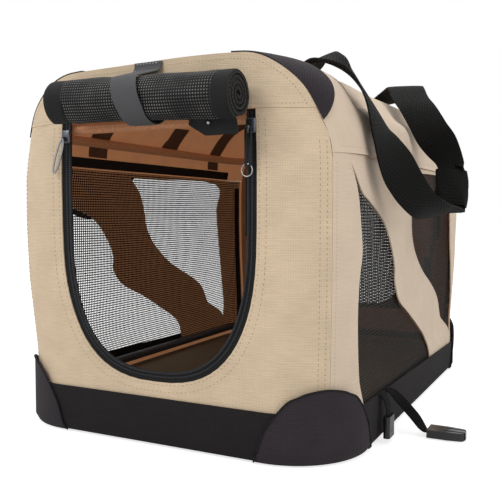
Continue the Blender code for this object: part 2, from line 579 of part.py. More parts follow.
def make_leg(name, sx, y, low_pivot, high_pivot, stand, look=STEEL):
    """One half of a folding leg: a tube with a flat tongue at each end. stand: -1 inside, 1 outside the post line."""
    x = sx * (POST_X + stand * LEG_STAND_OFF)
    leg = rod(name, (x, y), "Z", TUBE_RADIUS, low_pivot + LEG_TUBE_START, high_pivot - LEG_TUBE_START, look)
    near = POST_X + stand * TONGUE_CLEAR
    low, high = sorted((sx * near, sx * (near + stand * TONGUE_THICKNESS)))
    root = LEG_TUBE_START * 1.6
    foot, head = tongue_outline(y, low_pivot, low_pivot + root), tongue_outline(y, high_pivot, high_pivot - root)
    cut(leg, prism(name + "_foot_tongue", foot, "X", low, high), "UNION")
    cut(leg, prism(name + "_head_tongue", head, "X", low, high), "UNION")
    for tag, pivot in (("_foot_eye", low_pivot), ("_head_eye", high_pivot)):
        cut(leg, rod(name + tag, (y, pivot), "X", PIN_RADIUS + GAP, low - GAP, high + GAP))
    return hinge_on(smooth(leg), (x, y, low_pivot))


def make_frame():
    """The steel frame that carries the cloth and folds."""
    ring_frame("base_frame", BASE_RING_Z, 1)
    ring_frame("top_frame", TOP_RING_Z, -1)
    section = arc((0.0, 0.0), BOW_RADIUS, 0, 360, TUBE_SIDES)[:-1]
    bow_half = POST_X
    foot = TOP_RING_Z + TUBE_RADIUS + 2 * GAP
    crown = ROOF_Z - WALL_CLOTH - GAP - BOW_RADIUS
    corner = crown - foot - BOW_FOOT
    run = [(bow_half, foot)] + arc((bow_half - corner, crown - corner), corner, 0, 90)
    run = run + [(-x, z) for x, z in reversed(run)]
    for end, sy in (("front", -1), ("rear", 1)):
        path = [(x, sy * POST_Y, z) for x, z in run]
        smooth(sweep(f"{end}_bow", path, [(0, 1, 0)] * len(path), [section] * len(path), STEEL))
        for side, sx in (("left", -1), ("right", 1)):
            y = sy * POST_Y
            make_leg(f"{end}_lower_leg_{side}", sx, y, LOW_PIVOT_Z, KNUCKLE_Z, -1)
            make_leg(f"{end}_upper_leg_{side}", sx, y, KNUCKLE_Z, HIGH_PIVOT_Z, 1)
            make_knuckle_pin(f"{end}_knuckle_pin_{side}", sx, y)


def make_knuckle_pin(name, sx, y):
    """The rivet through the two tongues of a knuckle, with a head on each side."""
    reach = TONGUE_CLEAR * 2 + TONGUE_THICKNESS
    end = reach + PIN_HEAD_THICKNESS
    pin = rod(name, (y, KNUCKLE_Z), "X", PIN_RADIUS, sx * POST_X - end, sx * POST_X + end, PIN_STEEL)
    for tag, low, high in (("_head_a", -end, -reach), ("_head_b", reach, end)):
        head = rod(name + tag, (y, KNUCKLE_Z), "X", PIN_HEAD_RADIUS, sx * POST_X + low, sx * POST_X + high)
        cut(pin, head, "UNION")
    hinge_on(smooth(pin), (sx * POST_X, y, KNUCKLE_Z))


def handle_shift():
    """How far the handle's points move, so that they keep their place against the shoulder of this body."""
    return Vector((BODY_HALF_W - HANDLE_BODY[0], 0.0, ROOF_Z - HANDLE_BODY[1]))


def make_handle(name, sx, anchor_z):
    """A webbing loop: two legs from the roof over the shoulder, gathered narrow where the hand holds it."""
    low, high = Vector(GRIP_LOW_END), Vector(GRIP_HIGH_END)
    lead = (high - low).normalized() * GRIP_LEAD
    grip = [(point, GRIP_WIDE_WAY, HANDLE_FRONT_LEG[-1][2]) for point in (low - lead, low, high, high + lead)]
    steps = HANDLE_FRONT_LEG + grip + HANDLE_REAR_LEG[::-1]
    path = [Vector(point) + handle_shift() for point, way, half in steps]
    all_ways = align_ways([Vector(way) for point, way, half in steps])
    first, last = len(HANDLE_FRONT_LEG) - 1, len(HANDLE_FRONT_LEG) + len(grip)
    sections = [flat_section(half, (GRIP_STRAP_THICKNESS if first <= i <= last else HANDLE_THICKNESS) / 2)
                for i, (point, way, half) in enumerate(steps)]
    path = [(sx * p.x, p.y, p.z) for p in path]
    all_ways = [(sx * w.x, w.y, w.z) for w in all_ways]
    obj = sweep(name, path, all_ways, sections, WEBBING)
    return hinge_on(smooth(obj, 50), (sx * HANDLE_AXIS_X, 0.0, anchor_z))


def align_ways(ways):
    """Turn each wide way over where needed, so that the webbing never flips between two sections."""
    aligned = [ways[0]]
    for way in ways[1:]:
        aligned.append(way if way.dot(aligned[-1]) >= 0 else -way)
    return aligned


def make_handles():
    """Both carry handles, and the wrap that makes a grip on the right one."""
    anchor_z = HANDLE_FRONT_LEG[0][0][2] + handle_shift().z
    make_handle("carry_handle_left", -1, anchor_z)
    make_handle("carry_handle_right", 1, anchor_z)
    low, high = Vector(GRIP_LOW_END) + handle_shift(), Vector(GRIP_HIGH_END) + handle_shift()
    way, room = (high - low).normalized(), HANDLE_FRONT_LEG[-1][2] + GAP
    hollow = [low - way * FAR, high + way * FAR]
    wide = plan_outline(GRIP_HALF_WIDTH, GRIP_HALF_DEPTH, GRIP_HALF_DEPTH * 0.9)
    wrap = sweep("grip_wrap", [low, high], [GRIP_WIDE_WAY] * 2, [wide] * 2, WEBBING)
    section = flat_section(room, GRIP_STRAP_THICKNESS / 2 + GAP)
    cut(wrap, sweep("grip_room", hollow, [GRIP_WIDE_WAY] * 2, [section] * 2))
    hinge_on(smooth(wrap), (HANDLE_AXIS_X, 0.0, anchor_z))


def make_tail(name, route, half_width):
    """One tail of the closure strap, a narrow flat webbing."""
    section = flat_section(half_width, TAIL_THICKNESS / 2)
    shift = Vector((TUB_HALF_W - TAIL_BODY, 0.0, 0.0))
    path = [Vector(p) + shift for p in route]
    sweep(name, path, [(0, 1, 0)] * len(path), [section] * len(path), WEBBING)
    return path[-1]


def make_closure():
    """The closure strap's two tails and the buckle halves on their ends."""
    long_end = make_tail("closure_tail_long", LONG_TAIL, LONG_TAIL_HALF_WIDTH)
    short_end = make_tail("closure_tail_short", SHORT_TAIL, SHORT_TAIL_HALF_WIDTH)
    half_x, half_y, half_z = PRONG_HALF_SIZE
    x, y, z = long_end
    x = x + 2 * GAP + half_x
    outline = [(-half_x, -half_y), (half_x * 0.1, -half_y), (half_x * 0.85, -half_y * 0.8),
               (half_x, -half_y * 0.45), (half_x, half_y * 0.45), (half_x * 0.85, half_y * 0.8),
               (half_x * 0.1, half_y), (-half_x, half_y)]
    prongs = prism("buckle_prongs", [(x + a, y + b) for a, b in outline], "Z", z - half_z, z + half_z, PLASTIC)
    for sy in (-1, 1):
        low, high = sorted((y + sy * half_y * 0.30, y + sy * half_y * 0.55))
        cut(prongs, block(f"prong_slot_{sy + 1}", (x - half_x * 0.1, low, -FAR), (x + half_x * 2, high, FAR)))
    half_x, half_y, half_z = SOCKET_HALF_SIZE
    x, y, z = short_end
    z = z - GAP - half_z
    socket = prism("buckle_socket", [(x + a, y + b) for a, b in plan_outline(half_x, half_y, half_x * 0.8)], "Z",
                   z - half_z, z + half_z, PLASTIC)
    mouth = [(x + a, y + b) for a, b in plan_outline(half_x * 0.55, half_y * 0.78, half_x * 0.4)]
    cut(socket, prism("socket_mouth", mouth, "Z", z - FAR, z + half_z * 0.5))


def gather(name, point, children):
    """Parent pieces that move together to an empty on their joint's axis."""
    empty = bpy.data.objects.new(name, None)
    empty.location = point
    bpy.context.scene.collection.objects.link(empty)
    bpy.context.view_layer.update()
    for child in children:
        obj = bpy.data.objects[child]
        obj.parent = empty
        obj.matrix_parent_inverse = empty.matrix_world.inverted()
    return empty


def main():
    for obj in list(bpy.data.objects):
        bpy.data.objects.remove(obj, do_unlink=True)
    make_base()
    make_walls()
    make_door()
    make_frame()
    make_handles()
    make_closure()
    ends, sides = ("front", "rear"), ("left", "right")
    patches = [f"roof_patch_{end}_{side}" for end in ends for side in sides]
    top = ["roof_panel", "front_yoke", "top_frame", "front_bow", "rear_bow", "door_roll", "roll_strap"] + patches
    gather("top_carriage", (0.0, -POST_Y, HIGH_PIVOT_Z), top)


main()
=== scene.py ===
# %% [markdown]
# # Looks of a soft folding pet carrier
# The carrier is a box of tan polyester cloth with black mesh windows, held up by a folding tube frame.
# The tubes, legs and pins come ready made in the frame model. Everything that is sewn is made here:
# cloth walls, mesh, webbing, zip, rolled door and stitches. Each piece rides on the frame's part that carries it.

# %% Load the frame
import math

import bmesh
import bpy
import numpy as np
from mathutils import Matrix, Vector


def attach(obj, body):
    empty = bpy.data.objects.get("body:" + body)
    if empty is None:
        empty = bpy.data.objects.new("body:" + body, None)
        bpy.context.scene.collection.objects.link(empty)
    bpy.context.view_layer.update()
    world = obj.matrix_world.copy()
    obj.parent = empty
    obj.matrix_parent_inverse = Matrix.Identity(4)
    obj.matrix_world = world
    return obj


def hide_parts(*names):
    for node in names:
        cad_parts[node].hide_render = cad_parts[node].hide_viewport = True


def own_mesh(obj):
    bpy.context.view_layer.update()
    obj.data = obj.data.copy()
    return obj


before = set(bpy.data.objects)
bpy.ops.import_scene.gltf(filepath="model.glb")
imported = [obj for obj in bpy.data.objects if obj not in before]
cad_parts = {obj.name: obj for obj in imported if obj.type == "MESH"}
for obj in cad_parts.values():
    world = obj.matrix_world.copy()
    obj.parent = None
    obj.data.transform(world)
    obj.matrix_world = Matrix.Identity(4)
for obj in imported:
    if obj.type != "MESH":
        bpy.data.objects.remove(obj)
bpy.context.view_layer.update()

# %% [markdown]
# ## Camera, floor and light
# The view is that of a short telephoto lens, slightly above the carrier's middle and to its right.
# The object stands on a white floor that runs out of sight. A white world fills the shadows softly, and three
# large area lamps give the cloth its shape: the strongest from the front left, a weaker one from the right and
# one from above.

# %% Camera
CAMERA_AT = Vector((0.3468, -0.7526, 0.2033))
CAMERA_AZIMUTH, CAMERA_PITCH = math.radians(26.62), math.radians(3.10)
SENSOR_MM, FOCAL_PX, IMAGE_PX = 36.0, 708.3, 500.0


def link(obj):
    """Put a new object into the scene."""
    bpy.context.scene.collection.objects.link(obj)
    return obj


camera_data = bpy.data.cameras.new("camera")
camera_data.sensor_width = SENSOR_MM
camera_data.lens = FOCAL_PX / IMAGE_PX * SENSOR_MM
camera = link(bpy.data.objects.new("camera", camera_data))
level = math.cos(CAMERA_PITCH)
look = Vector((-math.sin(CAMERA_AZIMUTH) * level, math.cos(CAMERA_AZIMUTH) * level, -math.sin(CAMERA_PITCH)))
camera.location = CAMERA_AT
camera.rotation_euler = look.to_track_quat("-Z", "Y").to_euler()
bpy.context.scene.camera = camera
bpy.context.scene.view_settings.view_transform = "Standard"
print("lens", round(camera_data.lens, 1), "mm")


# %% Node helpers
def fill(tree, node, inputs):
    """Set a node's inputs: another node's output is joined, and anything else is a plain value."""
    for key, value in inputs.items():
        if isinstance(value, bpy.types.NodeSocket):
            tree.links.new(value, node.inputs[key])
        else:
            node.inputs[key].default_value = value


def add_node(tree, kind, inputs=None, out=0, **properties):
    """Add a shader node with its properties and inputs, and give back one of its outputs."""
    node = tree.nodes.new("ShaderNode" + kind)
    for key, value in properties.items():
        setattr(node, key, value)
    fill(tree, node, inputs or {})
    return node.outputs[out]


def maths(tree, operation, *inputs):
    """A Math node on outputs or numbers."""
    return add_node(tree, "Math", dict(enumerate(inputs)), operation=operation)


def new_material(name, colour, roughness, more=None):
    """A Principled material with its plain values on the shader's own sockets."""
    material = bpy.data.materials.new(name)
    material.use_nodes = True
    shader = material.node_tree.nodes["Principled BSDF"]
    fill(material.node_tree, shader, {"Base Color": (*colour, 1.0), "Roughness": roughness, **(more or {})})
    return material, material.node_tree, shader


# %% Floor and world
WHITE = (1.0, 1.0, 1.0, 1.0)
FLOOR_SEEN, FLOOR_BOUNCE, FLOOR_GLOW, WORLD_LIGHT = 1.85, 0.50, 0.38, 0.62
bpy.ops.mesh.primitive_plane_add(size=30.0, location=(0.0, 0.0, -0.0008))
floor = bpy.context.active_object
floor.name = "studio_floor"
floor_white, tree, shader = new_material("studio_white", (0.93, 0.93, 0.93), 0.95)
strength = add_node(tree, "MapRange", {0: add_node(tree, "LightPath", out="Is Camera Ray"), 3: FLOOR_BOUNCE,
                                       4: FLOOR_SEEN})
glow = add_node(tree, "Emission", {0: WHITE, 1: strength})
fill(tree, tree.nodes["Material Output"],
     {0: add_node(tree, "MixShader", {0: FLOOR_GLOW, 1: shader.outputs[0], 2: glow})})
floor.data.materials.append(floor_white)

world = bpy.data.worlds.new("studio_world")
bpy.context.scene.world = world
world.use_nodes = True
tree = world.node_tree
fill(tree, tree.nodes["Background"], {0: WHITE, 1: WORLD_LIGHT})
rays = [add_node(tree, "LightPath", out=f"Is {kind} Ray") for kind in ("Camera", "Transmission", "Glossy")]
seen = maths(tree, "MAXIMUM", maths(tree, "MAXIMUM", rays[0], rays[1]), rays[2])
seen_white = add_node(tree, "Background", {0: WHITE, 1: 1.0})
fill(tree, tree.nodes["World Output"],
     {0: add_node(tree, "MixShader", {0: seen, 1: tree.nodes["Background"].outputs[0], 2: seen_white})})

# %% Lamps
for name, at, towards, size, watts in (("key_lamp", (-0.9, -1.9, 1.7), (0.0, 0.0, 0.15), 1.2, 26.0),
                                       ("side_lamp", (2.0, -0.5, 1.2), (0.0, 0.0, 0.15), 1.4, 13.0),
                                       ("top_lamp", (0.1, 0.3, 2.2), (0.0, 0.0, 0.2), 1.6, 16.0)):
    data = bpy.data.lights.new(name, "AREA")
    data.size, data.energy = size, watts
    lamp = link(bpy.data.objects.new(name, data))
    lamp.location = at
    lamp.rotation_euler = (Vector(towards) - Vector(at)).to_track_quat("-Z", "Y").to_euler()
    print(name, watts, "W")

# %% [markdown]
# ## The carrier's form
# One set of sizes describes the sewn body: a rounded rectangle in plan, two round shoulders, and seams at known
# heights. Cloth is cut flat on a table and then sewn round the frame, and it is made the same way here: each
# piece is a flat pattern with a little thickness, cut into small squares, and then wrapped onto the body.

# %% Sizes of the body
HALF_W, HALF_L, PLAN_R = 0.169, 0.246, 0.066
ROOF_Z, SHOULDER_R = 0.3305, 0.070
SIDE_SEAM_Z, YOKE_SEAM_Z = 0.250, 0.285
FACE_HALF_W, FACE_TOP, FACE_RX = 0.153, 0.3284, 0.066
FACE_RZ = FACE_TOP - SIDE_SEAM_Z
WALL_FOOT_Z, SIDE_END, FACE_END = 0.0025, 0.2267, 0.1595
SIDE_TOP, FRONT_TOP, YOKE_FOOT, PATTERN_GAP = 0.2498, 0.2849, 0.2851, 0.0002
TUB_HALF_W, TUB_HALF_L, TUB_R, BAND_TOP = 0.1715, 0.2485, 0.0685, 0.040
BEND_X, BEND_Y = HALF_W - PLAN_R, HALF_L - PLAN_R
SHOULDER_X, SHOULDER_Z = HALF_W - SHOULDER_R, ROOF_Z - SHOULDER_R
DOOR_HALF_W, DOOR_FOOT, DOOR_BEND, DOOR_POWER = 0.0985, 0.0555, 0.1345, 2.6
RING_Z, FOLD_DROP = 0.279, 0.1486
CLOTH = (-0.0012, 0.0)
HANDS, ENDS = ((-1, "left"), (1, "right")), ((-1, "front"), (1, "rear"))


def ride(obj, body, *nodes):
    """The piece moves with a body, and takes the place of the frame's plain piece where one is named."""
    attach(obj, body)
    if nodes:
        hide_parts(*nodes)


def crumple(obj, top, *nodes):
    """The wall's cloth rides on the base with a mesh of its own, and takes the place of the frame's plain piece where
    one is named.
    """
    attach(obj, "base")
    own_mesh(obj)
    if nodes:
        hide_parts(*nodes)


def rectangle(u_low, u_high, v_low, v_high):
    """The four corners of a flat rectangle."""
    return [(u_low, v_low), (u_high, v_low), (u_high, v_high), (u_low, v_high)]


def rounded_box(half_w, low, high, radius, steps=16):
    """Outline of a box with round corners, from its lower right corner on."""
    x, out = half_w - radius, []
    for i, (cx, cy) in enumerate(((x, low + radius), (x, high - radius), (-x, high - radius), (-x, low + radius))):
        for j in range(steps + 1):
            turn = math.radians(90 * (i - 1) + 90 * j / steps)
            out.append((cx + radius * math.cos(turn), cy + radius * math.sin(turn)))
    return out


def plan_outline(half_w, half_l, radius):
    """Rounded rectangle seen from above."""
    return rounded_box(half_w, -half_l, half_l, radius)


# %% Mesh helpers
def only(obj):
    """Select this object alone and make it the active one."""
    bpy.ops.object.select_all(action="DESELECT")
    obj.select_set(True)
    bpy.context.view_layer.objects.active = obj


def edit(obj, *steps):
    """Run mesh steps on the whole piece in edit mode."""
    only(obj)
    bpy.ops.object.mode_set(mode="EDIT")
    for step in steps:
        bpy.ops.mesh.select_all(action="SELECT")
        step()
    bpy.ops.object.mode_set(mode="OBJECT")
    return obj


def face_out():
    """Point all normals out of the closed piece."""
    bpy.ops.mesh.normals_make_consistent(inside=False)


def smooth(obj, angle=40):
    """Shade smooth, with edges sharper than the angle kept."""
    only(obj)
    bpy.ops.object.shade_smooth_by_angle(angle=math.radians(angle))
    return obj


def mesh_object(name, points, faces, material=None, uvs=None, angle=None):
    """A mesh at the origin, with one UV for each point, and closed and smoothed if an angle is given."""
    mesh = bpy.data.meshes.new(name)
    mesh.from_pydata([tuple(p) for p in points], [], faces)
    mesh.update()
    obj = link(bpy.data.objects.new(name, mesh))
    if uvs:
        layer = mesh.uv_layers.new(name="cloth_uv")
        for loop in mesh.loops:
            layer.data[loop.index].uv = uvs[loop.vertex_index]
    if material:
        mesh.materials.append(material)
    return obj if angle is None else smooth(edit(obj, face_out), angle)


def band_faces(rows, count, closed=True):
    """The four-sided faces between rows of points, which may be closed rings."""
    return [(i * count + j, i * count + (j + 1) % count, (i + 1) * count + (j + 1) % count, (i + 1) * count + j)
            for i in range(rows - 1) for j in range(count if closed else count - 1)]


# %% Flat patterns
def slab(name, outline, low, high):
    """A flat pattern: the outline filled and extruded from its under side to its upper side."""
    obj = mesh_object(name, [(u, v, low) for u, v in outline], [list(range(len(outline)))])
    rise_by = {"value": (0, 0, high - low)}
    return edit(obj, lambda: bpy.ops.mesh.extrude_region_move(TRANSFORM_OT_translate=rise_by), face_out)


def cut_out(obj, outline):
    """Take an opening out of a flat pattern by Boolean, and delete the cutter."""
    cutter = slab("hole", outline, -0.02, 0.02)
    modifier = obj.modifiers.new("cut", "BOOLEAN")
    modifier.operation, modifier.solver, modifier.object = "DIFFERENCE", "EXACT", cutter
    only(obj)
    bpy.ops.object.modifier_apply(modifier=modifier.name)
    bpy.data.objects.remove(cutter, do_unlink=True)


def grid_cut(obj, steps):
    """Cut a flat pattern along regular lines both ways, so that it can bend."""
    bm = bmesh.new()
    bm.from_mesh(obj.data)
    co = np.array([v.co for v in bm.verts])
    for axis, step in enumerate(steps):
        low, high = co[:, axis].min(), co[:, axis].max()
        for i in range(math.ceil(low / step), int(high / step) + 1):
            if min(i * step - low, high - i * step) >= 2e-4:
                at, normal = [0.0, 0.0, 0.0], [0.0, 0.0, 0.0]
                at[axis], normal[axis] = i * step, 1.0
                bmesh.ops.bisect_plane(bm, geom=bm.verts[:] + bm.edges[:] + bm.faces[:], dist=2e-5, plane_co=at,
                                       plane_no=normal)
    bm.to_mesh(obj.data)
    bm.free()


def flat_uv(obj):
    """Keep the flat pattern's own measure as its UV map, in metres, so that the weave follows the cloth."""
    index = np.zeros(len(obj.data.loops), int)
    obj.data.loops.foreach_get("vertex_index", index)
    co = np.array([v.co for v in obj.data.vertices])
    obj.data.uv_layers.new(name="cloth_uv").data.foreach_set("uv", co[index][:, :2].reshape(-1))


def wrap(obj, place):
    """Move every point from its flat place (u, v, lift) onto the body."""
    co = np.zeros(len(obj.data.vertices) * 3)
    obj.data.vertices.foreach_get("co", co)
    obj.data.vertices.foreach_set("co", place(co.reshape(-1, 3)).reshape(-1))
    obj.data.update()


# %% [markdown]
# The wrap functions turn flat measures into places. A side wall runs straight and then bends round both plan
# corners. The front wall does the same the other way round. The roof runs over both shoulders, and near its
# ends it curves in and down to meet the face seam. Soft cloth is never quite tight, so small dents, waves and
# bulges are added to each place in the same step.

# %% Softness of the cloth
def hump(value, middle, reach):
    """A smooth hump of height 1 round a middle value."""
    return np.exp(-(((value - middle) / reach) ** 2))


def rise(value, start, reach):
    """0 up to a start, and from there up to 1 over a reach."""
    return np.clip((value - start) / reach, 0, 1)


def off_ring(z):
    """0 where the cloth lies on the frame's top ring, and 1 a little above and below it."""
    return rise(np.abs(z - RING_Z), 0.007, 0.012)


def dent(p):
    """How far the cloth is pressed in by the hanging handles, along the crease that each front leg makes."""
    x, y, z = p.T
    crease_y = np.interp(z, [0.18, 0.19, 0.214, 0.243, 0.267, 0.290, 0.305, 0.320],
                         [-0.070, -0.084, -0.110, -0.150, -0.170, -0.172, -0.165, -0.150])
    depth = np.interp(z, [0.160, 0.190, 0.230, 0.262, 0.300, 0.318, 0.330],
                      [0.0, 0.0022, 0.0030, 0.0035, 0.0085, 0.006, 0.0]) * hump(y, crease_y + 0.006, 0.016)
    depth += 0.0060 * hump(y, -0.030, 0.070) * hump(z, 0.306, 0.020)
    depth += 0.0040 * hump(y, 0.095, 0.020) * hump(z, 0.306, 0.025)
    return depth * rise(np.abs(x), 0.10, 0.03) * off_ring(z)


def warp(p):
    """The soft body's own shape: corners that bulge between their seams, and a roof edge with a low crown."""
    x, y, z = p.T
    out = p.copy()
    corner = rise(np.abs(x), 0.085, 0.06) * rise(np.abs(y), 0.130, 0.075)
    push = np.interp(z, [0.0, 0.045, 0.070, 0.100, 0.140, 0.190, 0.235, 0.262, 0.290, 0.315, 0.335],
                     [0.0, 0.0, 0.0006, 0.0025, 0.0050, 0.0062, 0.0060, 0.0040, 0.0015, 0.0, 0.0])
    amount = np.where(x < 0, 1.5, np.where(y < 0, 0.35, 1.45)) * corner * push
    out[:, 0] += np.sign(x) * amount * 0.80
    out[:, 1] += np.sign(y) * amount * 0.60
    out[:, 0] -= np.where((x > 0) & (y < 0), 0.0034 * corner * hump(z, 0.284, 0.020), 0.0)
    top = rise(z, 0.262, 0.060)
    out[:, 2] += top * 0.0028 * hump(x, 0.040, 0.075) * hump(np.abs(y), 0.246, 0.050)
    out[:, 2] -= top * (0.0055 * hump(x, -0.132, 0.036) + 0.0030 * hump(x, 0.128, 0.030)) * hump(y, -0.246, 0.019)
    return out


def slack(p, seed=0.0):
    """Soft, shallow waves in cloth that isn't pulled quite tight."""
    x, y, z = p.T
    wave = (np.sin(31 * y + 17 * z + seed) * np.sin(23 * z - 9 * y + 1.3 + seed)
            + 0.6 * np.sin(57 * x + 41 * z + 2.1 + seed) * np.sin(37 * y + 11 * x))
    return 0.0009 * wave


# %% Wrapping onto the walls
def bend_round(u, straight, depth):
    """A wall that is straight and then bends round a corner: its place along and across, and its outward way."""
    angle = np.clip(np.abs(u) - straight, 0.0, None) / PLAN_R
    along = np.sign(u) * (np.minimum(np.abs(u), straight) + PLAN_R * np.sin(angle))
    return along, depth - PLAN_R * (1 - np.cos(angle)), np.sign(u) * np.sin(angle), np.cos(angle)


def side_place(side, inset=0.0, sag=None):
    """Wrap for a side wall: u runs along Y, v is the height, lift points outwards."""
    def place(p):
        u, v, lift = p.T
        along, across, way_along, way_across = bend_round(u, BEND_Y, HALF_W)
        out = np.stack([across, along, v], axis=1)
        edge = rise(SIDE_END + PATTERN_GAP - np.abs(u), 0, 0.03) * rise(v, BAND_TOP, 0.02)
        press = dent(out) + edge * (0.0018 - slack(out)) + (sag(u, v) if sag else 0.0)
        out += np.stack([way_across, way_along, 0 * v], axis=1) * (lift - inset - press)[:, None]
        out[:, 0] *= side
        return warp(out)
    return place


def face_place(way, inset=0.0):
    """Wrap for the front wall (way -1) or the rear wall (way 1): u runs along X, v is the height."""
    def place(p):
        u, v, lift = p.T
        along, across, way_along, way_across = bend_round(u, BEND_X, HALF_L)
        out = np.stack([along, across, v], axis=1)
        hem = rise(FACE_END + PATTERN_GAP - np.abs(u), 0, 0.02) * rise(v, BAND_TOP, 0.02)
        press = hem * (0.0004 - 0.6 * slack(out, 2.0))
        out += np.stack([way_along, way_across, 0 * v], axis=1) * (lift - inset - press)[:, None]
        out[:, 1] *= way
        return warp(out)
    return place


# %% Wrapping onto the roof
ROOF_BEND = SHOULDER_X + SHOULDER_R * math.pi / 2
ROOF_END_U = ROOF_BEND + SHOULDER_Z - SIDE_SEAM_Z
ROOF_BLEND = 0.066
ROOF_END_V = BEND_Y + ROOF_BLEND


def roof_point(u, v):
    """The roof's surface: straight along Y in the middle, and curving to the face seams at both ends."""
    a, side = np.abs(u), np.sign(u)
    phi = np.clip((a - SHOULDER_X) / SHOULDER_R, 0, math.pi / 2)
    arch_x = side * (np.minimum(a, SHOULDER_X) + SHOULDER_R * np.sin(phi))
    arch_z = SHOULDER_Z + SHOULDER_R * np.cos(phi) - np.clip(a - ROOF_BEND, 0, None)
    psi = rise(a, SHOULDER_X, ROOF_END_U - SHOULDER_X) * math.pi / 2
    seam_x = np.minimum(a, SHOULDER_X) * (FACE_HALF_W - FACE_RX) / SHOULDER_X + FACE_RX * np.sin(psi)
    seam_y = BEND_Y + np.sqrt(PLAN_R ** 2 - np.clip(seam_x - BEND_X, 0, None) ** 2)
    start = np.stack([arch_x, np.minimum(np.abs(v), BEND_Y), arch_z], axis=1)
    middle = np.stack([arch_x, BEND_Y + 0.0235 + 0.0285 * np.cos(phi), arch_z], axis=1)
    end = np.stack([side * seam_x, seam_y, SIDE_SEAM_Z + FACE_RZ * np.cos(psi)], axis=1)
    q = rise(np.abs(v), BEND_Y, ROOF_BLEND)[:, None]
    out = start * (1 - q) ** 2 + middle * 2 * q * (1 - q) + end * q ** 2
    out[:, 1] *= np.sign(v)
    return out


def roof_place(inset=0.0):
    """Wrap for the roof: u runs across it from seam to seam, v along Y."""
    def place(p):
        u, v, lift = p.T
        step = 1e-4
        here = roof_point(u, v)
        normal = np.cross(roof_point(u + step, v) - roof_point(u - step, v),
                          roof_point(u, v + step) - roof_point(u, v - step))
        normal /= np.linalg.norm(normal, axis=1)[:, None] + 1e-12
        edge = rise(ROOF_END_V - np.abs(v), 0, 0.03) * rise(ROOF_END_U - np.abs(u), 0, 0.01)
        tight = edge * (0.0010 - slack(here, 4.0)) * off_ring(here[:, 2])
        return warp(here + normal * (lift - inset - tight - dent(here))[:, None])
    return place


def sewn(name, outline, layer, place, steps, outside, inside=None, holes=()):
    """Cut a pattern and its holes flat, divide it, wrap it, and give the outer and inner side their own cloth."""
    obj = slab(name, outline, *layer)
    for opening in holes:
        cut_out(obj, opening)
    grid_cut(obj, steps)
    flat_uv(obj)
    lift = np.array([v.co.z for v in obj.data.vertices])
    middle = (lift.max() + lift.min()) / 2
    under = [all(lift[i] < middle for i in poly.vertices) for poly in obj.data.polygons]
    wrap(obj, place)
    edit(obj, face_out)
    obj.data.materials.append(outside)
    if inside:
        obj.data.materials.append(inside)
        for poly, is_under in zip(obj.data.polygons, under):
            poly.material_index = int(is_under)
    print(f"{name}: {len(obj.data.polygons)} faces")
    return smooth(obj)


# %% [markdown]
# ## Cloths
# A plain weave is two sets of threads that pass over and under each other. It is drawn on the flat pattern's
# own UV map, which is in metres, so the threads keep their size and follow the cloth. Two sine ridges, one for
# each set, are swapped over by a checker, and the result shades the colour a little and drives the bump.

# %% Weave
def ridges(tree, uv, pitches):
    """A sine along each direction of a UV map in metres, and the size of each without its sign."""
    waves = [maths(tree, "SINE", maths(tree, "MULTIPLY", add_node(tree, "SeparateXYZ", {0: uv}, out=axis),
                                       math.pi / pitch)) for axis, pitch in enumerate(pitches)]
    return waves, [maths(tree, "ABSOLUTE", wave) for wave in waves]


def weave_height(tree, uv, pitch, ribs):
    """A height from 0 to 1 of a plain weave on a UV map in metres."""
    waves, sizes = ridges(tree, uv, (pitch, pitch * ribs))
    over = maths(tree, "GREATER_THAN", maths(tree, "MULTIPLY", *waves), 0.0)
    return add_node(tree, "Mix", {0: over, 2: sizes[0], 3: sizes[1]}, data_type="FLOAT")


def colour_ramp(tree, factor, *stops):
    """Colours along a factor from 0 to 1."""
    out = add_node(tree, "ValToRGB", {0: factor})
    elements = out.node.color_ramp.elements
    while len(elements) < len(stops):
        elements.new(0.5)
    for element, (at, colour) in zip(elements, stops):
        element.position = at
        element.color = (*colour, 1.0)
    return out


def shade(colour, amount):
    """The colour made lighter or darker by a factor."""
    return tuple(max(0.0, min(1.0, c * amount)) for c in colour)


def linear(*levels):
    """A colour as read from 0 to 255, made linear."""
    return tuple(c / 12.92 if c <= 0.04045 else ((c + 0.055) / 1.055) ** 2.4 for c in (v / 255.0 for v in levels))


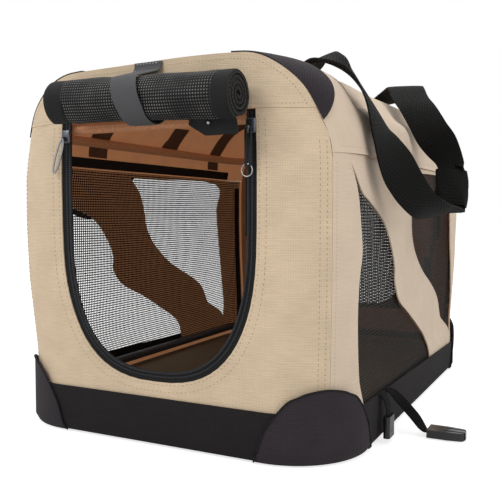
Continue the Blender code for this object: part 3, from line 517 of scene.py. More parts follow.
# %% Woven cloth
def woven(name, levels, pitch, contrast, bump, roughness, sheen=0.0, patchy=0.10, ribs=1.0, gloss=0.3, lit=0.0,
          crease=0.0):
    """Cloth with a plain weave, small uneven patches and a soft sheen.

    lit is the strength of a painted glow, an emission of the cloth's colour that stands in for the daylight that
    comes through it, and crease the depth of its soft folds in metres."""
    colour = linear(*levels)
    material, tree, shader = new_material(name, colour, roughness, {
        "Specular IOR Level": gloss, "Sheen Weight": sheen, "Sheen Roughness": 0.45})
    uv, where = add_node(tree, "UVMap", uv_map="cloth_uv"), add_node(tree, "TexCoord", out="Object")
    height = weave_height(tree, uv, pitch, ribs)
    final = colour_ramp(tree, height, (0.0, shade(colour, 1 - contrast)), (0.65, colour),
                        (1.0, shade(colour, 1 + contrast * 0.45)))
    cloud = add_node(tree, "TexNoise", {0: where, 2: 38.0, 3: 4.0})
    along = add_node(tree, "Mapping", {0: uv, "Scale": (60.0, 900.0, 1.0)})
    slub = add_node(tree, "TexNoise", {0: along, 2: 1.0, 3: 2.0})
    for uneven in (colour_ramp(tree, cloud, (0.30, (1 - patchy,) * 3), (0.70, (1.0,) * 3)),
                   colour_ramp(tree, slub, (0.35, (1 - patchy * 0.8,) * 3), (0.62, (1.0,) * 3))):
        final = add_node(tree, "Mix", {0: 1.0, 6: final, 7: uneven}, out=2, data_type="RGBA", blend_type="MULTIPLY")
    relief = {0: bump, 1: 0.0004, "Height": height}
    if crease:
        tall = add_node(tree, "Mapping", {0: where, "Scale": (1.0, 1.0, 0.55)})
        fold = add_node(tree, "TexNoise", {0: tall, 2: 17.0, 3: 3.0, 4: 0.45})
        relief["Normal"] = add_node(tree, "Bump", {0: 1.0, 1: crease, "Height": fold})
    fill(tree, shader, {"Base Color": final, "Normal": add_node(tree, "Bump", relief)})
    # Painted glow: the cloth gives off its own colour as light, in place of daylight that comes through it.
    if lit:
        fill(tree, shader, {"Emission Color": final, "Emission Strength": lit})
    return material


# %% Cloths of the carrier
tan_cloth = woven("tan_cloth", (214, 192, 163), 0.0013, 0.24, 0.45, 0.82, sheen=0.06, patchy=0.11, crease=0.0040)
side_cloth = woven("tan_side_cloth", (212, 192, 170), 0.0008, 0.12, 0.25, 0.75, sheen=0.06, patchy=0.07,
                   crease=0.0040)
# The inner sides' colour and glow are painted light: the warm orange-brown and the emission stand in for daylight
# that comes through the tan cloth, strong on most walls and dim on the rear wall.
dim_painted_glow_lining = woven("tan_lining_dim", (170, 124, 90), 0.0011, 0.15, 0.30, 0.80, lit=0.05)
painted_glow_lining = woven("tan_lining", (196, 138, 96), 0.0011, 0.15, 0.30, 0.80, lit=0.30)
dark_cloth = woven("dark_cloth", (51, 46, 50), 0.0016, 0.45, 0.55, 0.80, sheen=0.04, patchy=0.14, gloss=0.12)
band_cloth = woven("dark_band_cloth", (37, 34, 35), 0.0016, 0.45, 0.55, 0.85, sheen=0.02, patchy=0.14, gloss=0.10)
# Dark brown strips under the roof, mostly painted shadow of the handle webbing above, with a little painted glow.
lining_strip = woven("lining_strip", (92, 62, 44), 0.0014, 0.30, 0.50, 0.85, patchy=0.15, lit=0.08)
mat_fabric = woven("mat_fabric", (116, 106, 86), 0.0016, 0.25, 0.50, 0.85)
webbing = woven("black_webbing", (15, 14, 13), 0.0016, 0.70, 1.0, 0.75, sheen=0.01, patchy=0.12, ribs=2.2,
                gloss=0.10)
charcoal = woven("charcoal_webbing", (80, 80, 82), 0.0010, 0.25, 0.35, 0.75, sheen=0.05, gloss=0.15)
binding = woven("black_binding", (28, 28, 29), 0.0009, 0.50, 0.55, 0.72, sheen=0.03, gloss=0.15)
print("cloths made:", len(bpy.data.materials))


# %% [markdown]
# ## Plain finishes
# Thread, paint, steel and plastic have no weave, but none of them is one flat colour either. Fine noise breaks
# up the colour and, where the finish is cast or painted, roughens it a little. The frame's own parts get theirs
# here too, looked up by name: the floor board, the knuckle pins and the buckle keep the finish of that name that
# came with the frame. The frame's top ring sits in a cloth sleeve, so it has the lining's colour, and like the
# lining it has a little emission: both its warm colour and its glow are painted light that comes through the cloth.

# %% Plain finishes with a fine grain
def grainy(name, levels, roughness, scale, low, high, bump=0.0, more=None):
    """A plain finish with fine noise between a darker and a lighter colour."""
    colour = linear(*levels)
    material, tree, shader = new_material(name, colour, roughness, more)
    noise = add_node(tree, "TexNoise", {0: add_node(tree, "TexCoord", out="Object"), 2: scale, 3: 3.0})
    fill(tree, shader, {"Base Color": colour_ramp(tree, noise, (0.3, shade(colour, low)),
                                                  (0.7, shade(colour, high)))})
    if bump:
        fill(tree, shader, {"Normal": add_node(tree, "Bump", {0: bump, 1: 0.0003, "Height": noise})})
    return material


PAINTED_GLOW_SLEEVE = (168, 116, 80)
net_thread = grainy("net_thread", (30, 27, 25), 0.75, 900.0, 0.7, 1.35, more={"Specular IOR Level": 0.15})
stitch_thread = grainy("tan_stitches", (168, 146, 118), 0.75, 1500.0, 0.85, 1.1)
grey_thread = grainy("grey_stitches", (92, 88, 82), 0.75, 1500.0, 0.85, 1.1)
pale_thread = grainy("pale_stitches", (190, 188, 186), 0.70, 1500.0, 0.8, 1.1)
# The sleeve's warm colour and its emission are painted glow, for daylight that comes through the cloth.
grainy("ring_sleeve", PAINTED_GLOW_SLEEVE, 0.80, 420.0, 0.75, 1.15, 0.3,
       {"Emission Color": (*linear(*PAINTED_GLOW_SLEEVE), 1.0), "Emission Strength": 0.12})
grainy("tube_paint", (52, 54, 58), 0.42, 260.0, 0.8, 1.2, 0.15)
pin_steel = grainy("pin_steel", (168, 168, 170), 0.30, 500.0, 0.8, 1.1, more={"Metallic": 1.0})
zip_metal = grainy("zip_metal", (96, 100, 106), 0.34, 700.0, 0.7, 1.2, more={"Metallic": 0.9})
coil_plastic = grainy("zip_coil", (50, 53, 58), 0.42, 900.0, 0.7, 1.3)
black_plastic = grainy("black_plastic", (15, 15, 16), 0.48, 420.0, 0.75, 1.3, 0.12, {"Specular IOR Level": 0.28})
print("materials made:", len(bpy.data.materials))

# %% Finish the frame's own parts
legs = [f"{end}_{part}_leg_{hand}" for _, end in ENDS for part in ("lower", "upper") for _, hand in HANDS]
pins = [f"{end}_knuckle_pin_{hand}" for _, end in ENDS for _, hand in HANDS]
for finish, nodes in (("tube_paint", ["base_frame"] + legs), ("ring_sleeve", ["top_frame", "front_bow", "rear_bow"]),
                      ("pin_steel", pins), ("board", ["floor_board"]),
                      ("zip_metal", ["zip_slider_left", "zip_slider_right"]),
                      ("black_plastic", ["buckle_prongs", "buckle_socket"])):
    for node in nodes:
        solid = bpy.data.objects[node]
        if not solid.material_slots:
            solid.data.materials.append(bpy.data.materials[finish])
        for slot in solid.material_slots:
            slot.material = bpy.data.materials[finish]
    print(finish, "on", len(nodes), "frame parts")

# %% [markdown]
# ## Closure strap
# A narrow webbing tail leaves the right wall just above the dark band, arches out and comes down to the floor,
# where half a snap buckle lies. It is a free cord, so its route is set first, as a flat tube along a smooth line
# that twists a little on its way. A second, short tab hangs beside it and holds the other buckle half.

# %% Smooth routes and flat straps
def smooth_path(points, per_span):
    """A Catmull-Rom line through all points."""
    pts = [Vector(p) for p in points]
    ends = [pts[0] * 2 - pts[1]] + pts + [pts[-1] * 2 - pts[-2]]
    out = []
    for a, b, c, d in zip(ends, ends[1:], ends[2:], ends[3:]):
        for t in (j / per_span for j in range(per_span)):
            out.append(0.5 * ((2 * b) + (c - a) * t + (2 * a - 5 * b + 4 * c - d) * t * t
                              + (3 * b - a - 3 * c + d) * t ** 3))
    return out + [pts[-1]]


def flat_path(points, per_span):
    """A smooth line through points (u, v) of a flat pattern."""
    return [(p.x, p.y) for p in smooth_path([(u, v, 0) for u, v in points], per_span)]


def travel(path):
    """Each point of a path, with the direction there and the distance run so far."""
    run = 0.0
    for i, p in enumerate(path):
        run += (p - path[i - 1]).length if i else 0.0
        yield p, (path[min(i + 1, len(path) - 1)] - path[max(i - 1, 0)]).normalized(), run


def strap(name, path, ways, halves, thicks, material, sides=5, ruffle=0.0):
    """A flat webbing along a line: ways is the direction of its width, and halves is half that width.

    One value stands for all points, and a list gives each point its own."""
    ways, halves, thicks = (v if isinstance(v, list) else [v] * len(path) for v in (ways, halves, thicks))
    points, uvs, ring, run = [], [], 2 * (sides + 1), 0.0
    for (p, ahead, run), way, half, thick in zip(travel(path), ways, halves, thicks):
        wide = (way - ahead * way.dot(ahead)).normalized()
        up = wide.cross(ahead).normalized()
        for face_side in (1, -1):
            for j in range(sides + 1):
                s = (j / sides * 2 - 1) * face_side
                bulge = (1 - abs(s) ** 4 * 0.45) * thick / 2
                points.append(p + wide * (s * half) + up * (bulge * face_side + ruffle * s * math.sin(run * 60)))
                uvs.append((s * half + 0.1, run))
    faces = band_faces(len(path), ring)
    for end in (0, (len(path) - 1) * ring):
        faces += [(end + j, end + j + 1, end + ring - 2 - j, end + ring - 1 - j) for j in range(sides)]
    print(f"{name}: {run * 1000:.0f} mm long")
    return mesh_object(name, points, faces, material, uvs, 60)


# %% Free tail and its tab
LONG_TAIL = [(0.1722, -0.1280, 0.0415), (0.1765, -0.1265, 0.0405), (0.1820, -0.1230, 0.0345),
             (0.1890, -0.1180, 0.0250), (0.1960, -0.1140, 0.0155), (0.2010, -0.1120, 0.0080),
             (0.2045, -0.1118, 0.0044), (0.2070, -0.1118, 0.0040)]
SHORT_TAIL = [(0.1722, -0.1430, 0.0415), (0.1760, -0.1435, 0.0385), (0.1785, -0.1440, 0.0310),
              (0.1795, -0.1440, 0.0235)]
TAIL_WAYS = [(0, 1, 0), (0.1, 0.95, 0.2), (0.35, 0.75, 0.5), (0.5, 0.6, 0.6), (0.5, 0.6, 0.6), (0.3, 0.85, 0.4),
             (0.1, 1, 0.1), (0, 1, 0)]
TAIL_WIDTH = 0.009
ALONG_X, ALONG_Y = Vector((1, 0, 0)), Vector((0, 1, 0))

tail_line = smooth_path(LONG_TAIL, 5)
tail = strap("closure_strap_long", tail_line, [way.normalized() for way in smooth_path(TAIL_WAYS, 5)],
             TAIL_WIDTH / 2, 0.0018, webbing)
ride(tail, "base", "closure_tail_long")
tab = strap("closure_strap_short", smooth_path(SHORT_TAIL, 6), ALONG_Y, 0.006, 0.0014, webbing)
ride(tab, "base", "closure_tail_short")

# %% [markdown]
# ## Bottom tub and corner patches
# The floor cloth turns up round the foot of the walls as a dark band, about 40 mm high. It is lofted as one
# closed shell from copies of the rounded plan outline. Four tabs of the same cloth cover the corners, and each
# has a fine cord of piping sewn along its edge.

# %% Lofted shells
def loft(name, rings, material):
    """Join rings of points, each with the same count, into one closed shell with a UV map in metres."""
    count, rows = len(rings[0]), len(rings)
    caps = [tuple(range(count)), tuple(range((rows - 1) * count, rows * count))]
    obj = mesh_object(name, [p for ring in rings for p in ring], band_faces(rows, count) + caps, material)
    widest = max(rings, key=lambda ring: max(p[0] for p in ring))
    along, up = [0.0], [0.0]
    for j in range(count):
        along.append(along[-1] + math.dist(widest[(j + 1) % count], widest[j]))
    for low, high in zip(rings, rings[1:]):
        up.append(up[-1] + math.dist(low[0], high[0]))
    layer = obj.data.uv_layers.new(name="cloth_uv")
    for poly in obj.data.polygons:
        flat = abs(poly.normal.z) > 0.9 or len(poly.vertices) > 4
        wraps = {index % count for index in poly.vertices} >= {0, count - 1}
        for k in poly.loop_indices:
            index = obj.data.loops[k].vertex_index
            row, column = divmod(index, count)
            seam = along[count if wraps and column == 0 else column]
            layer.data[k].uv = obj.data.vertices[index].co[:2] if flat else (seam, up[row])
    print(f"{name}: {len(obj.data.polygons)} faces")
    return smooth(edit(obj, face_out), 50)


TUB_PROFILE = [(0.0100, 0.0002), (0.0040, 0.0006), (0.0012, 0.0022), (0.0002, 0.0050), (0.0, 0.0120), (0.0, 0.0250),
               (0.0, 0.0370), (0.0004, 0.0396), (0.0012, 0.0399), (0.0020, 0.0394), (0.0022, 0.0360),
               (0.0022, 0.0100), (0.0022, 0.0040), (0.0060, 0.0022)]
BAND_Y = [-0.18, -0.07, -0.027, 0.018, 0.068, 0.120]
BAND_HEIGHT = [0.0425, 0.0425, 0.0410, 0.0390, 0.0355, 0.0340]


def tub_ring(inset, z):
    """One ring of the tub. The band's top edge is a little higher at the front than along the rear part."""
    return [(x, y, z * (float(np.interp(y, BAND_Y, BAND_HEIGHT)) / BAND_TOP if z > 0.020 else 1.0))
            for x, y in plan_outline(TUB_HALF_W - inset, TUB_HALF_L - inset, TUB_R - inset)]


tub = loft("bottom_tub", [tub_ring(inset, z) for inset, z in TUB_PROFILE], band_cloth)
ride(tub, "base", "base_tub")

# %% Corner patches and their piping
PATCH_EDGE = [(0.054, 0.0008), (0.0510, 0.010), (0.0470, 0.026), (0.0400, 0.040), (0.0310, 0.052), (0.0235, 0.056),
              (0.0150, 0.0595)]
PATCH_TOP, PATCH_TUCK, PIPING_R = (0.0, 0.0615), 0.004, 0.0008
OUTER_HALF_W, OUTER_HALF_L, OUTER_R = 0.173, 0.250, 0.070


def corner_place(sx, sy):
    """Wrap for a corner patch: u is measured along the chord across the corner, v is the height."""
    def place(p):
        u, v, lift = p.T
        rim = OUTER_R * math.sin(math.pi / 4)
        turn = math.pi / 4 + np.arcsin(np.clip(u, -rim, rim) / OUTER_R)
        beyond = np.clip(np.abs(u) - rim, 0, None) * math.sqrt(2)
        amount = OUTER_R + lift - PATCH_TUCK * np.clip(1 - v / 0.005, 0, None) ** 2
        return np.stack([sx * (OUTER_HALF_W - OUTER_R - np.where(u < 0, beyond, 0) + np.sin(turn) * amount),
                         sy * (OUTER_HALF_L - OUTER_R - np.where(u > 0, beyond, 0) + np.cos(turn) * amount), v],
                        axis=1)
    return place


def tube_along(name, line, radius, material, sides=6):
    """A thin round cord along a line, closed at both ends."""
    points, uvs = [], []
    for i, (p, ahead, run) in enumerate(travel(line)):
        following = line[i + 1] if i + 1 < len(line) else p * 2 - line[i - 1]
        steep = abs((following - p).normalized().z) >= 0.9
        side = ahead.cross(ALONG_X if steep else Vector((0, 0, 1))).normalized()
        up = side.cross(ahead).normalized()
        for turn in (2 * math.pi * j / sides for j in range(sides)):
            points.append(p + (side * math.cos(turn) + up * math.sin(turn)) * radius)
            uvs.append((radius * turn, run))
    caps = [tuple(range(sides)), tuple(range((len(line) - 1) * sides, len(line) * sides))]
    return mesh_object(name, points, band_faces(len(line), sides) + caps, material, uvs, 60)


patch_outline = flat_path(PATCH_EDGE + [PATCH_TOP] + [(-u, v) for u, v in reversed(PATCH_EDGE)], 3)
for sx, hand in HANDS:
    for sy, end in ENDS:
        place = corner_place(sx, sy)
        patch = sewn(f"foot_patch_{end}_{hand}", patch_outline, (-0.0011, -0.0001), place, (0.004, 0.006), dark_cloth)
        ride(patch, "base", f"corner_patch_{end}_{hand}")
        edge_line = [Vector(p) for p in place(np.array([(u, v, 0.0001) for u, v in patch_outline]))]
        ride(tube_along(f"foot_piping_{end}_{hand}", edge_line, PIPING_R, binding), "base")

# %% [markdown]
# ## Side walls
# Each side wall is one panel of tan cloth with two windows whose edges run in a wave. Black net lies behind the
# whole wall and shows in the windows. The flat pattern gets its windows by Boolean, and then it is wrapped.

# %% Window outlines on the flat wall
FRONT_WAVE = [(-0.207, 0.244), (-0.199, 0.233), (-0.187, 0.219), (-0.169, 0.213), (-0.145, 0.205), (-0.123, 0.196),
              (-0.107, 0.184), (-0.092, 0.166), (-0.084, 0.150), (-0.084, 0.135), (-0.066, 0.116), (-0.029, 0.100),
              (0.010, 0.081), (0.041, 0.065), (0.058, 0.052), (0.064, 0.0405), (0.067, 0.0300)]
FRONT_EDGE = [(-0.182, 0.0300), (-0.184, 0.0405), (-0.189, 0.063), (-0.192, 0.095), (-0.193, 0.125),
              (-0.191, 0.150), (-0.1865, 0.170), (-0.190, 0.190), (-0.195, 0.217), (-0.201, 0.232)]
REAR_WAVE = [(-0.050, 0.2435), (-0.031, 0.225), (-0.022, 0.203), (-0.018, 0.184), (-0.007, 0.167), (0.012, 0.151),
             (0.036, 0.136), (0.068, 0.122), (0.095, 0.110), (0.116, 0.097), (0.126, 0.083), (0.133, 0.073),
             (0.148, 0.066), (0.170, 0.056), (0.184, 0.046)]
REAR_EDGE = [(0.185, 0.062), (0.182, 0.090), (0.176, 0.128), (0.169, 0.167), (0.164, 0.205), (0.162, 0.2435)]
WAVE_STEPS = 4


def wall_run(at, straight):
    """Distance along a wall for a point that is known by its straight distance from the middle."""
    over = min(max(abs(at) - straight, 0.0) / PLAN_R, 0.999)
    return math.copysign(min(abs(at), straight) + PLAN_R * math.asin(over), at)


def window_outline(wave, edge):
    """The closed outline of a window: its wavy edge down, then the plain edge back up, on the flat wall."""
    line = flat_path(wave, WAVE_STEPS) + flat_path(edge + [wave[0]], WAVE_STEPS)[:-1]
    return [(wall_run(y, BEND_Y), z) for y, z in line]


windows = [window_outline(FRONT_WAVE, FRONT_EDGE), window_outline(REAR_WAVE, REAR_EDGE)]


# %% Stitches and other rows of small pieces
STITCH_FORM = (((-0.5, 0.0, 0.0), (-0.2, 0.5, 0.0), (0.2, 0.5, 0.0), (0.5, 0.0, 0.0), (0.2, -0.5, 0.0),
                (-0.2, -0.5, 0.0), (-0.2, 0.0, 1.0), (0.2, 0.0, 1.0)),
               ((0, 1, 2, 3, 4, 5), (0, 6, 1), (1, 6, 7, 2), (2, 7, 3), (3, 7, 4), (4, 7, 6, 5), (5, 6, 0)))
STITCH_TALL, STITCH_SINK = 0.00035, 0.0001


def along_line(line, pitch):
    """Evenly spaced points on a line of flat points, with the line's direction at each."""
    pts = [Vector((u, v, 0)) for u, v in line]
    out, run, at = [], 0.0, 0
    span = (pts[1] - pts[0]).length
    for i in range(int(sum((b - a).length for a, b in zip(pts, pts[1:])) / pitch)):
        goal = (i + 0.5) * pitch
        while goal > run + span and at < len(pts) - 2:
            run += span
            at += 1
            span = (pts[at + 1] - pts[at]).length
        way = (pts[at + 1] - pts[at]).normalized()
        out.append((pts[at] + way * (goal - run), way))
    return out


def row_pieces(name, rows, place, material, form, pitch, size, sink=0.0):
    """Copies of one small form along rows of flat points, wrapped onto the body, as one piece."""
    corners, sides = form
    points, faces = [], []
    for middle, way in (mark for row in rows for mark in along_line(row, pitch)):
        side, base = Vector((-way.y, way.x, 0)), len(points)
        for s, w, h in corners:
            p = middle + way * (s * size[0]) + side * (w * size[1])
            points.append((p.x, p.y, h * size[2] - sink))
        faces += [tuple(base + k for k in face) for face in sides]
    obj = mesh_object(name, points, faces, material)
    wrap(obj, place)
    print(f"{name}: {len(points) // len(corners)} small pieces")
    return edit(obj, face_out)


def stitches(name, rows, place, material=stitch_thread, pitch=0.0033, length=0.0022, width=0.0006):
    """Short raised stitches along rows, as one piece of thread for a panel."""
    return row_pieces(name, rows, place, material, STITCH_FORM, pitch, (length, width, STITCH_TALL), STITCH_SINK)


# %% Cut, wrap and stitch the side walls
def shifted(line, amount):
    """The line moved sideways by a small amount on the flat pattern."""
    out = []
    for i, (u, v) in enumerate(line):
        a, b = line[max(i - 1, 0)], line[min(i + 1, len(line) - 1)]
        du, dv = b[0] - a[0], b[1] - a[1]
        size = math.hypot(du, dv) or 1.0
        out.append((u - dv / size * amount, v + du / size * amount))
    return out


side_rows = [shifted(window[:WAVE_STEPS * spans + 1], -0.0032)
             for window, spans in zip(windows, (len(FRONT_WAVE) - 2, len(REAR_WAVE) - 1))]
side_rows += [[(u, 0.045), (u, 0.246)] for u in (-SIDE_END + 0.004, SIDE_END - 0.004)]
for side, hand in HANDS:
    wall = sewn(f"side_wall_{hand}", rectangle(-SIDE_END, SIDE_END, WALL_FOOT_Z, SIDE_TOP), CLOTH, side_place(side),
                (0.006, 0.006), side_cloth, painted_glow_lining, holes=windows)
    crumple(wall, SIDE_SEAM_Z, f"side_panel_{hand}")
    crumple(stitches(f"side_stitches_{hand}", side_rows, side_place(side), length=0.0018, width=0.0005), SIDE_SEAM_Z)

# %% [markdown]
# ## Net
# The net is a knitted grid with square holes a little under 3 mm apart. Holes drawn by a see-through material
# would be flat and would be lost when the model is exported, so the net is made of real threads: a grid whose
# cells are inset, with their middles taken out. It is one layer thick and is wrapped like the wall in front.

# %% Net sheets
NET_PITCH, NET_OPEN = 0.0027, 0.54
NET_END, NET_FOOT, NET_TOP = 0.2225, 0.0270, 0.2495


def net_sheet(name, node, low, high, place, top, pitch=NET_PITCH, open_share=NET_OPEN):
    """A net on the flat pattern from corner low to corner high, which rides on the base like the wall."""
    flat = (high[0] - low[0], high[1] - low[1])
    across, up = (max(1, round(size / pitch)) for size in flat)
    step_u, step_v = flat[0] / across, flat[1] / up
    rim_u, rim_v = step_u * (1 - open_share) / 2, step_v * (1 - open_share) / 2
    index, points, faces = {}, [], []
    for i in range(across):
        for j in range(up):
            outer = []
            for corner in ((i, j), (i + 1, j), (i + 1, j + 1), (i, j + 1)):
                if corner not in index:
                    index[corner] = len(points)
                    points.append((low[0] + corner[0] * step_u, low[1] + corner[1] * step_v, 0.0))
                outer.append(index[corner])
            base = len(points)
            u, v = low[0] + i * step_u, low[1] + j * step_v
            points += [(at_u, at_v, 0.0) for at_u, at_v in
                       rectangle(u + rim_u, u + step_u - rim_u, v + rim_v, v + step_v - rim_v)]
            faces += [(outer[k], outer[(k + 1) % 4], base + (k + 1) % 4, base + k) for k in range(4)]
    obj = mesh_object(name, points, faces, net_thread)
    wrap(obj, place)
    crumple(obj, top, node)


def window_sag(u, v):
    """How far the net bellies inwards in the middle of the windows."""
    return 0.0035 * (hump(u, -0.12, 0.075) + hump(u, 0.10, 0.07)) * rise(v, 0.035, 0.05) * rise(0.245 - v, 0, 0.05)


for side, hand in HANDS:
    net_sheet(f"side_net_{hand}", f"side_mesh_{hand}", (-NET_END, NET_FOOT), (NET_END, NET_TOP),
              side_place(side, inset=0.0022, sag=window_sag), SIDE_SEAM_Z)

# %% [markdown]
# ## Front and rear walls
# The front wall is a tall panel round the door opening, with a yoke over it, and the rear wall has a window with
# round corners. Both are cut flat, as seen from the front, and are then bent round the plan corners.

# %% Outlines as seen from the front
def face_run(points):
    """Points (x, z) seen from the front as points on the flat face pattern."""
    return [(wall_run(x, BEND_X), z) for x, z in points]


def both_sides(half):
    """A line up the right side and its mirror down the left side, on the flat face pattern."""
    return face_run(half + [(-x, z) for x, z in reversed(half)])


def face_corner(start, inset=0.0, steps=16):
    """The face's right shoulder, a quarter of an ellipse, from an angle up to the roof."""
    turns = [math.radians(start + (90 - start) * i / steps) for i in range(steps + 1)]
    return [(FACE_HALF_W - FACE_RX + (FACE_RX - inset) * math.cos(turn),
             SIDE_SEAM_Z + (FACE_RZ - inset) * math.sin(turn)) for turn in turns]


def face_edge(z):
    """Half the width of the face at a height."""
    share = min(max(z - SIDE_SEAM_Z, 0.0) / FACE_RZ, 1.0)
    return FACE_HALF_W - FACE_RX + FACE_RX * math.sqrt(1 - share ** 2)


def face_outline(low, high, steps=14):
    """The face between two heights, with the round shoulders where they fall in it."""
    return both_sides([(face_edge(z), z) for z in (low + (high - low) * i / steps for i in range(steps + 1))])


def top_face_outline(low):
    """The face from a height up to the roof, with its two round shoulders."""
    start = math.degrees(math.asin(max(low - SIDE_SEAM_Z, 0.0) / FACE_RZ))
    return both_sides(([] if start > 0 else [(FACE_HALF_W, low)]) + face_corner(start))


def door_line(grow, top, steps=16):
    """The U of the door opening, from the top left down and round to the top right, as seen from the front."""
    half, foot, bend = DOOR_HALF_W + grow, DOOR_FOOT - grow, DOOR_BEND + grow
    share = 2 / DOOR_POWER
    right = [(half, top + (foot + bend - top) * i / 12) for i in range(12)]
    right += [(half * math.cos(t) ** share, foot + bend * (1 - math.sin(t) ** share))
              for t in (math.pi / 2 * i / steps for i in range(steps))] + [(0.0, foot)]
    return face_run([(-x, z) for x, z in right] + right[-2::-1])


def rear_window(grow):
    """The round-cornered rear window, or a line round it."""
    return face_run(rounded_box(0.090 + grow, 0.070 - grow, 0.262 + grow, 0.045 + grow, 8))


# %% Front wall, yoke and rear wall
SEAM_LOW, SEAM_HIGH, HEM_STITCHES = 0.046, 0.262, (0.0042, 0.0102)
hem_rows = [[(side * (FACE_END - d), z) for z in (SEAM_LOW, SEAM_HIGH)] for side, _ in HANDS for d in HEM_STITCHES]
front_place, yoke_place, rear_place = face_place(-1), face_place(-1, inset=-0.0004), face_place(1)

front = sewn("front_wall", face_outline(WALL_FOOT_Z, FRONT_TOP), CLOTH, front_place, (0.006, 0.006), tan_cloth,
             painted_glow_lining, holes=[door_line(0.0, 0.300)])
crumple(front, YOKE_SEAM_Z, "front_panel")
crumple(stitches("front_stitches", hem_rows + [door_line(grow, 0.282) for grow in (0.0022, 0.0082)], front_place,
                 pitch=0.0042, length=0.0027, width=0.0009), YOKE_SEAM_Z)

yoke = sewn("front_yoke_cloth", top_face_outline(YOKE_FOOT), CLOTH, yoke_place, (0.006, 0.004), tan_cloth,
            painted_glow_lining)
ride(yoke, "top", "front_yoke")
yoke_end, yoke_z = face_run([(face_edge(0.2885) - 0.003, 0.2885)])[0]
yoke_rows = [[(-yoke_end, yoke_z), (yoke_end, yoke_z)], both_sides(face_corner(30, 0.005, 14))]
ride(stitches("yoke_stitches", yoke_rows, yoke_place), "top")

rear = sewn("rear_wall", top_face_outline(WALL_FOOT_Z), CLOTH, rear_place, (0.006, 0.006), tan_cloth, dim_painted_glow_lining,
            holes=[rear_window(0.0)])
crumple(rear, FACE_TOP, "rear_panel")
crumple(stitches("rear_stitches", [rear_window(grow) for grow in (0.0035, 0.0095)] + hem_rows, rear_place), FACE_TOP)
net_sheet("rear_net", "rear_mesh", (-0.0955, 0.0645), (0.0955, 0.2675), face_place(1, inset=0.0024), FACE_TOP,
          pitch=0.0022, open_share=0.42)

# %% [markdown]
# ## Roof
# One panel runs over both shoulders, from seam to seam, and is closed at its ends by the front and rear walls.
# Dark crescents cover its four corners. A crescent is the part of the roof that lies inside a long ellipsoid,
# so its outline is found on the flat pattern, row by row, and then it is wrapped with the same rule as the roof.

# %% Roof panel
roof = sewn("roof", rectangle(-ROOF_END_U, ROOF_END_U, -ROOF_END_V, ROOF_END_V), CLOTH, roof_place(), (0.006, 0.006),
            side_cloth, painted_glow_lining)
ride(roof, "top", "roof_panel")
roof_rows = [[(side * (ROOF_END_U - 0.005), v) for v in (-0.236, 0.236)] for side, _ in HANDS]
ride(stitches("roof_stitches", roof_rows, roof_place(), length=0.0018, width=0.0005), "top")

# %% Roof crescents
CRESCENT_MIDDLE = (0.121, -0.240, 0.308)
CRESCENT_REACH = (0.052, 0.035, 0.044)
CRESCENT_STEP = 0.0006


def crescent_outline():
    """The front right crescent on the flat roof: its two edges, row by row from the front seam, and its tip."""
    left, right = [], []
    u = np.linspace(0.0, ROOF_END_U, 2400)
    for i in range(156):
        v = -ROOF_END_V + 0.0004 + i * CRESCENT_STEP
        off = (roof_point(u, np.full(len(u), v)) - CRESCENT_MIDDLE) / CRESCENT_REACH
        hit = np.nonzero((off ** 2).sum(axis=1) < 1.0)[0]
        if len(hit) < 12:
            break
        if i % 4 == 0:
            left.append((u[hit[0]], v))
            right.append((u[hit[-1]], v))
    return right + [((left[-1][0] + right[-1][0]) / 2, v)] + left[::-1]


crescent = crescent_outline()
for side, hand in HANDS:
    for way, end in ENDS:
        patch = sewn(f"roof_crescent_{end}_{hand}", [(side * u, -way * v) for u, v in crescent], (0.0002, 0.0012),
                     roof_place(), (0.005, 0.005), dark_cloth)
        ride(patch, "top", f"roof_patch_{end}_{hand}")

# %% [markdown]
# ## Door zip
# The door zip runs in a U round the opening. Its half on the wall is a black tape, sewn behind the cloth's edge,
# with a coil of plastic teeth along its free edge. One tooth is a small block, and copies of it follow the U.

# %% Zip tape and coil
TOOTH_FORM = (((-0.5, -0.5, 0), (0.5, -0.5, 0), (0.5, 0.5, 0), (-0.5, 0.5, 0),
               (-0.28, -0.32, 1), (0.28, -0.32, 1), (0.28, 0.32, 1), (-0.28, 0.32, 1)),
              ((0, 3, 2, 1), (4, 5, 6, 7), (0, 1, 5, 4), (1, 2, 6, 5), (2, 3, 7, 6), (3, 0, 4, 7)))
TOOTH_PITCH, TOOTH_FILL = 0.0016, 0.62
tape_place = face_place(-1, inset=0.0014)
tape = sewn("door_tape", door_line(0.0060, 0.2846), (-0.0011, -0.0001), tape_place, (0.006, 0.006), binding,
            holes=[door_line(-0.0090, 0.300)])
crumple(tape, YOKE_SEAM_Z, "door_zip_tape")
for name, grow, width, tall in (("door_coil_1", -0.0080, 0.0022, 0.0012), ("door_coil_2", -0.0045, 0.0014, 0.0006)):
    crumple(row_pieces(name, [door_line(grow, 0.2835)], tape_place, coil_plastic, TOOTH_FORM, TOOTH_PITCH,
                       (TOOTH_PITCH * TOOTH_FILL, width, tall)), YOKE_SEAM_Z)

# %% [markdown]
# ## Sliders and pulls
# Two sliders wait at the top of the zip, one on each side. A slider is a small cast block with rounded edges
# and a lug. The left pull is a slim wire loop that hangs askew. The right one is a pair of black strips with a
# wire ring.

# %% Slider bodies
def rounded_block(name, centre, size, bevel, material):
    """A cube primitive, sized and placed in edit mode, with its edges rounded."""
    bpy.ops.object.select_all(action="DESELECT")
    bpy.ops.mesh.primitive_cube_add(size=1.0, location=(0, 0, 0))
    obj = bpy.context.active_object
    obj.name = name
    obj.data.materials.append(material)
    edit(obj, lambda: bpy.ops.transform.resize(value=size), lambda: bpy.ops.transform.translate(value=centre),
         lambda: bpy.ops.mesh.bevel(offset=bevel, segments=2, affect="EDGES"))
    print(name, "made")
    return smooth(obj, 50)


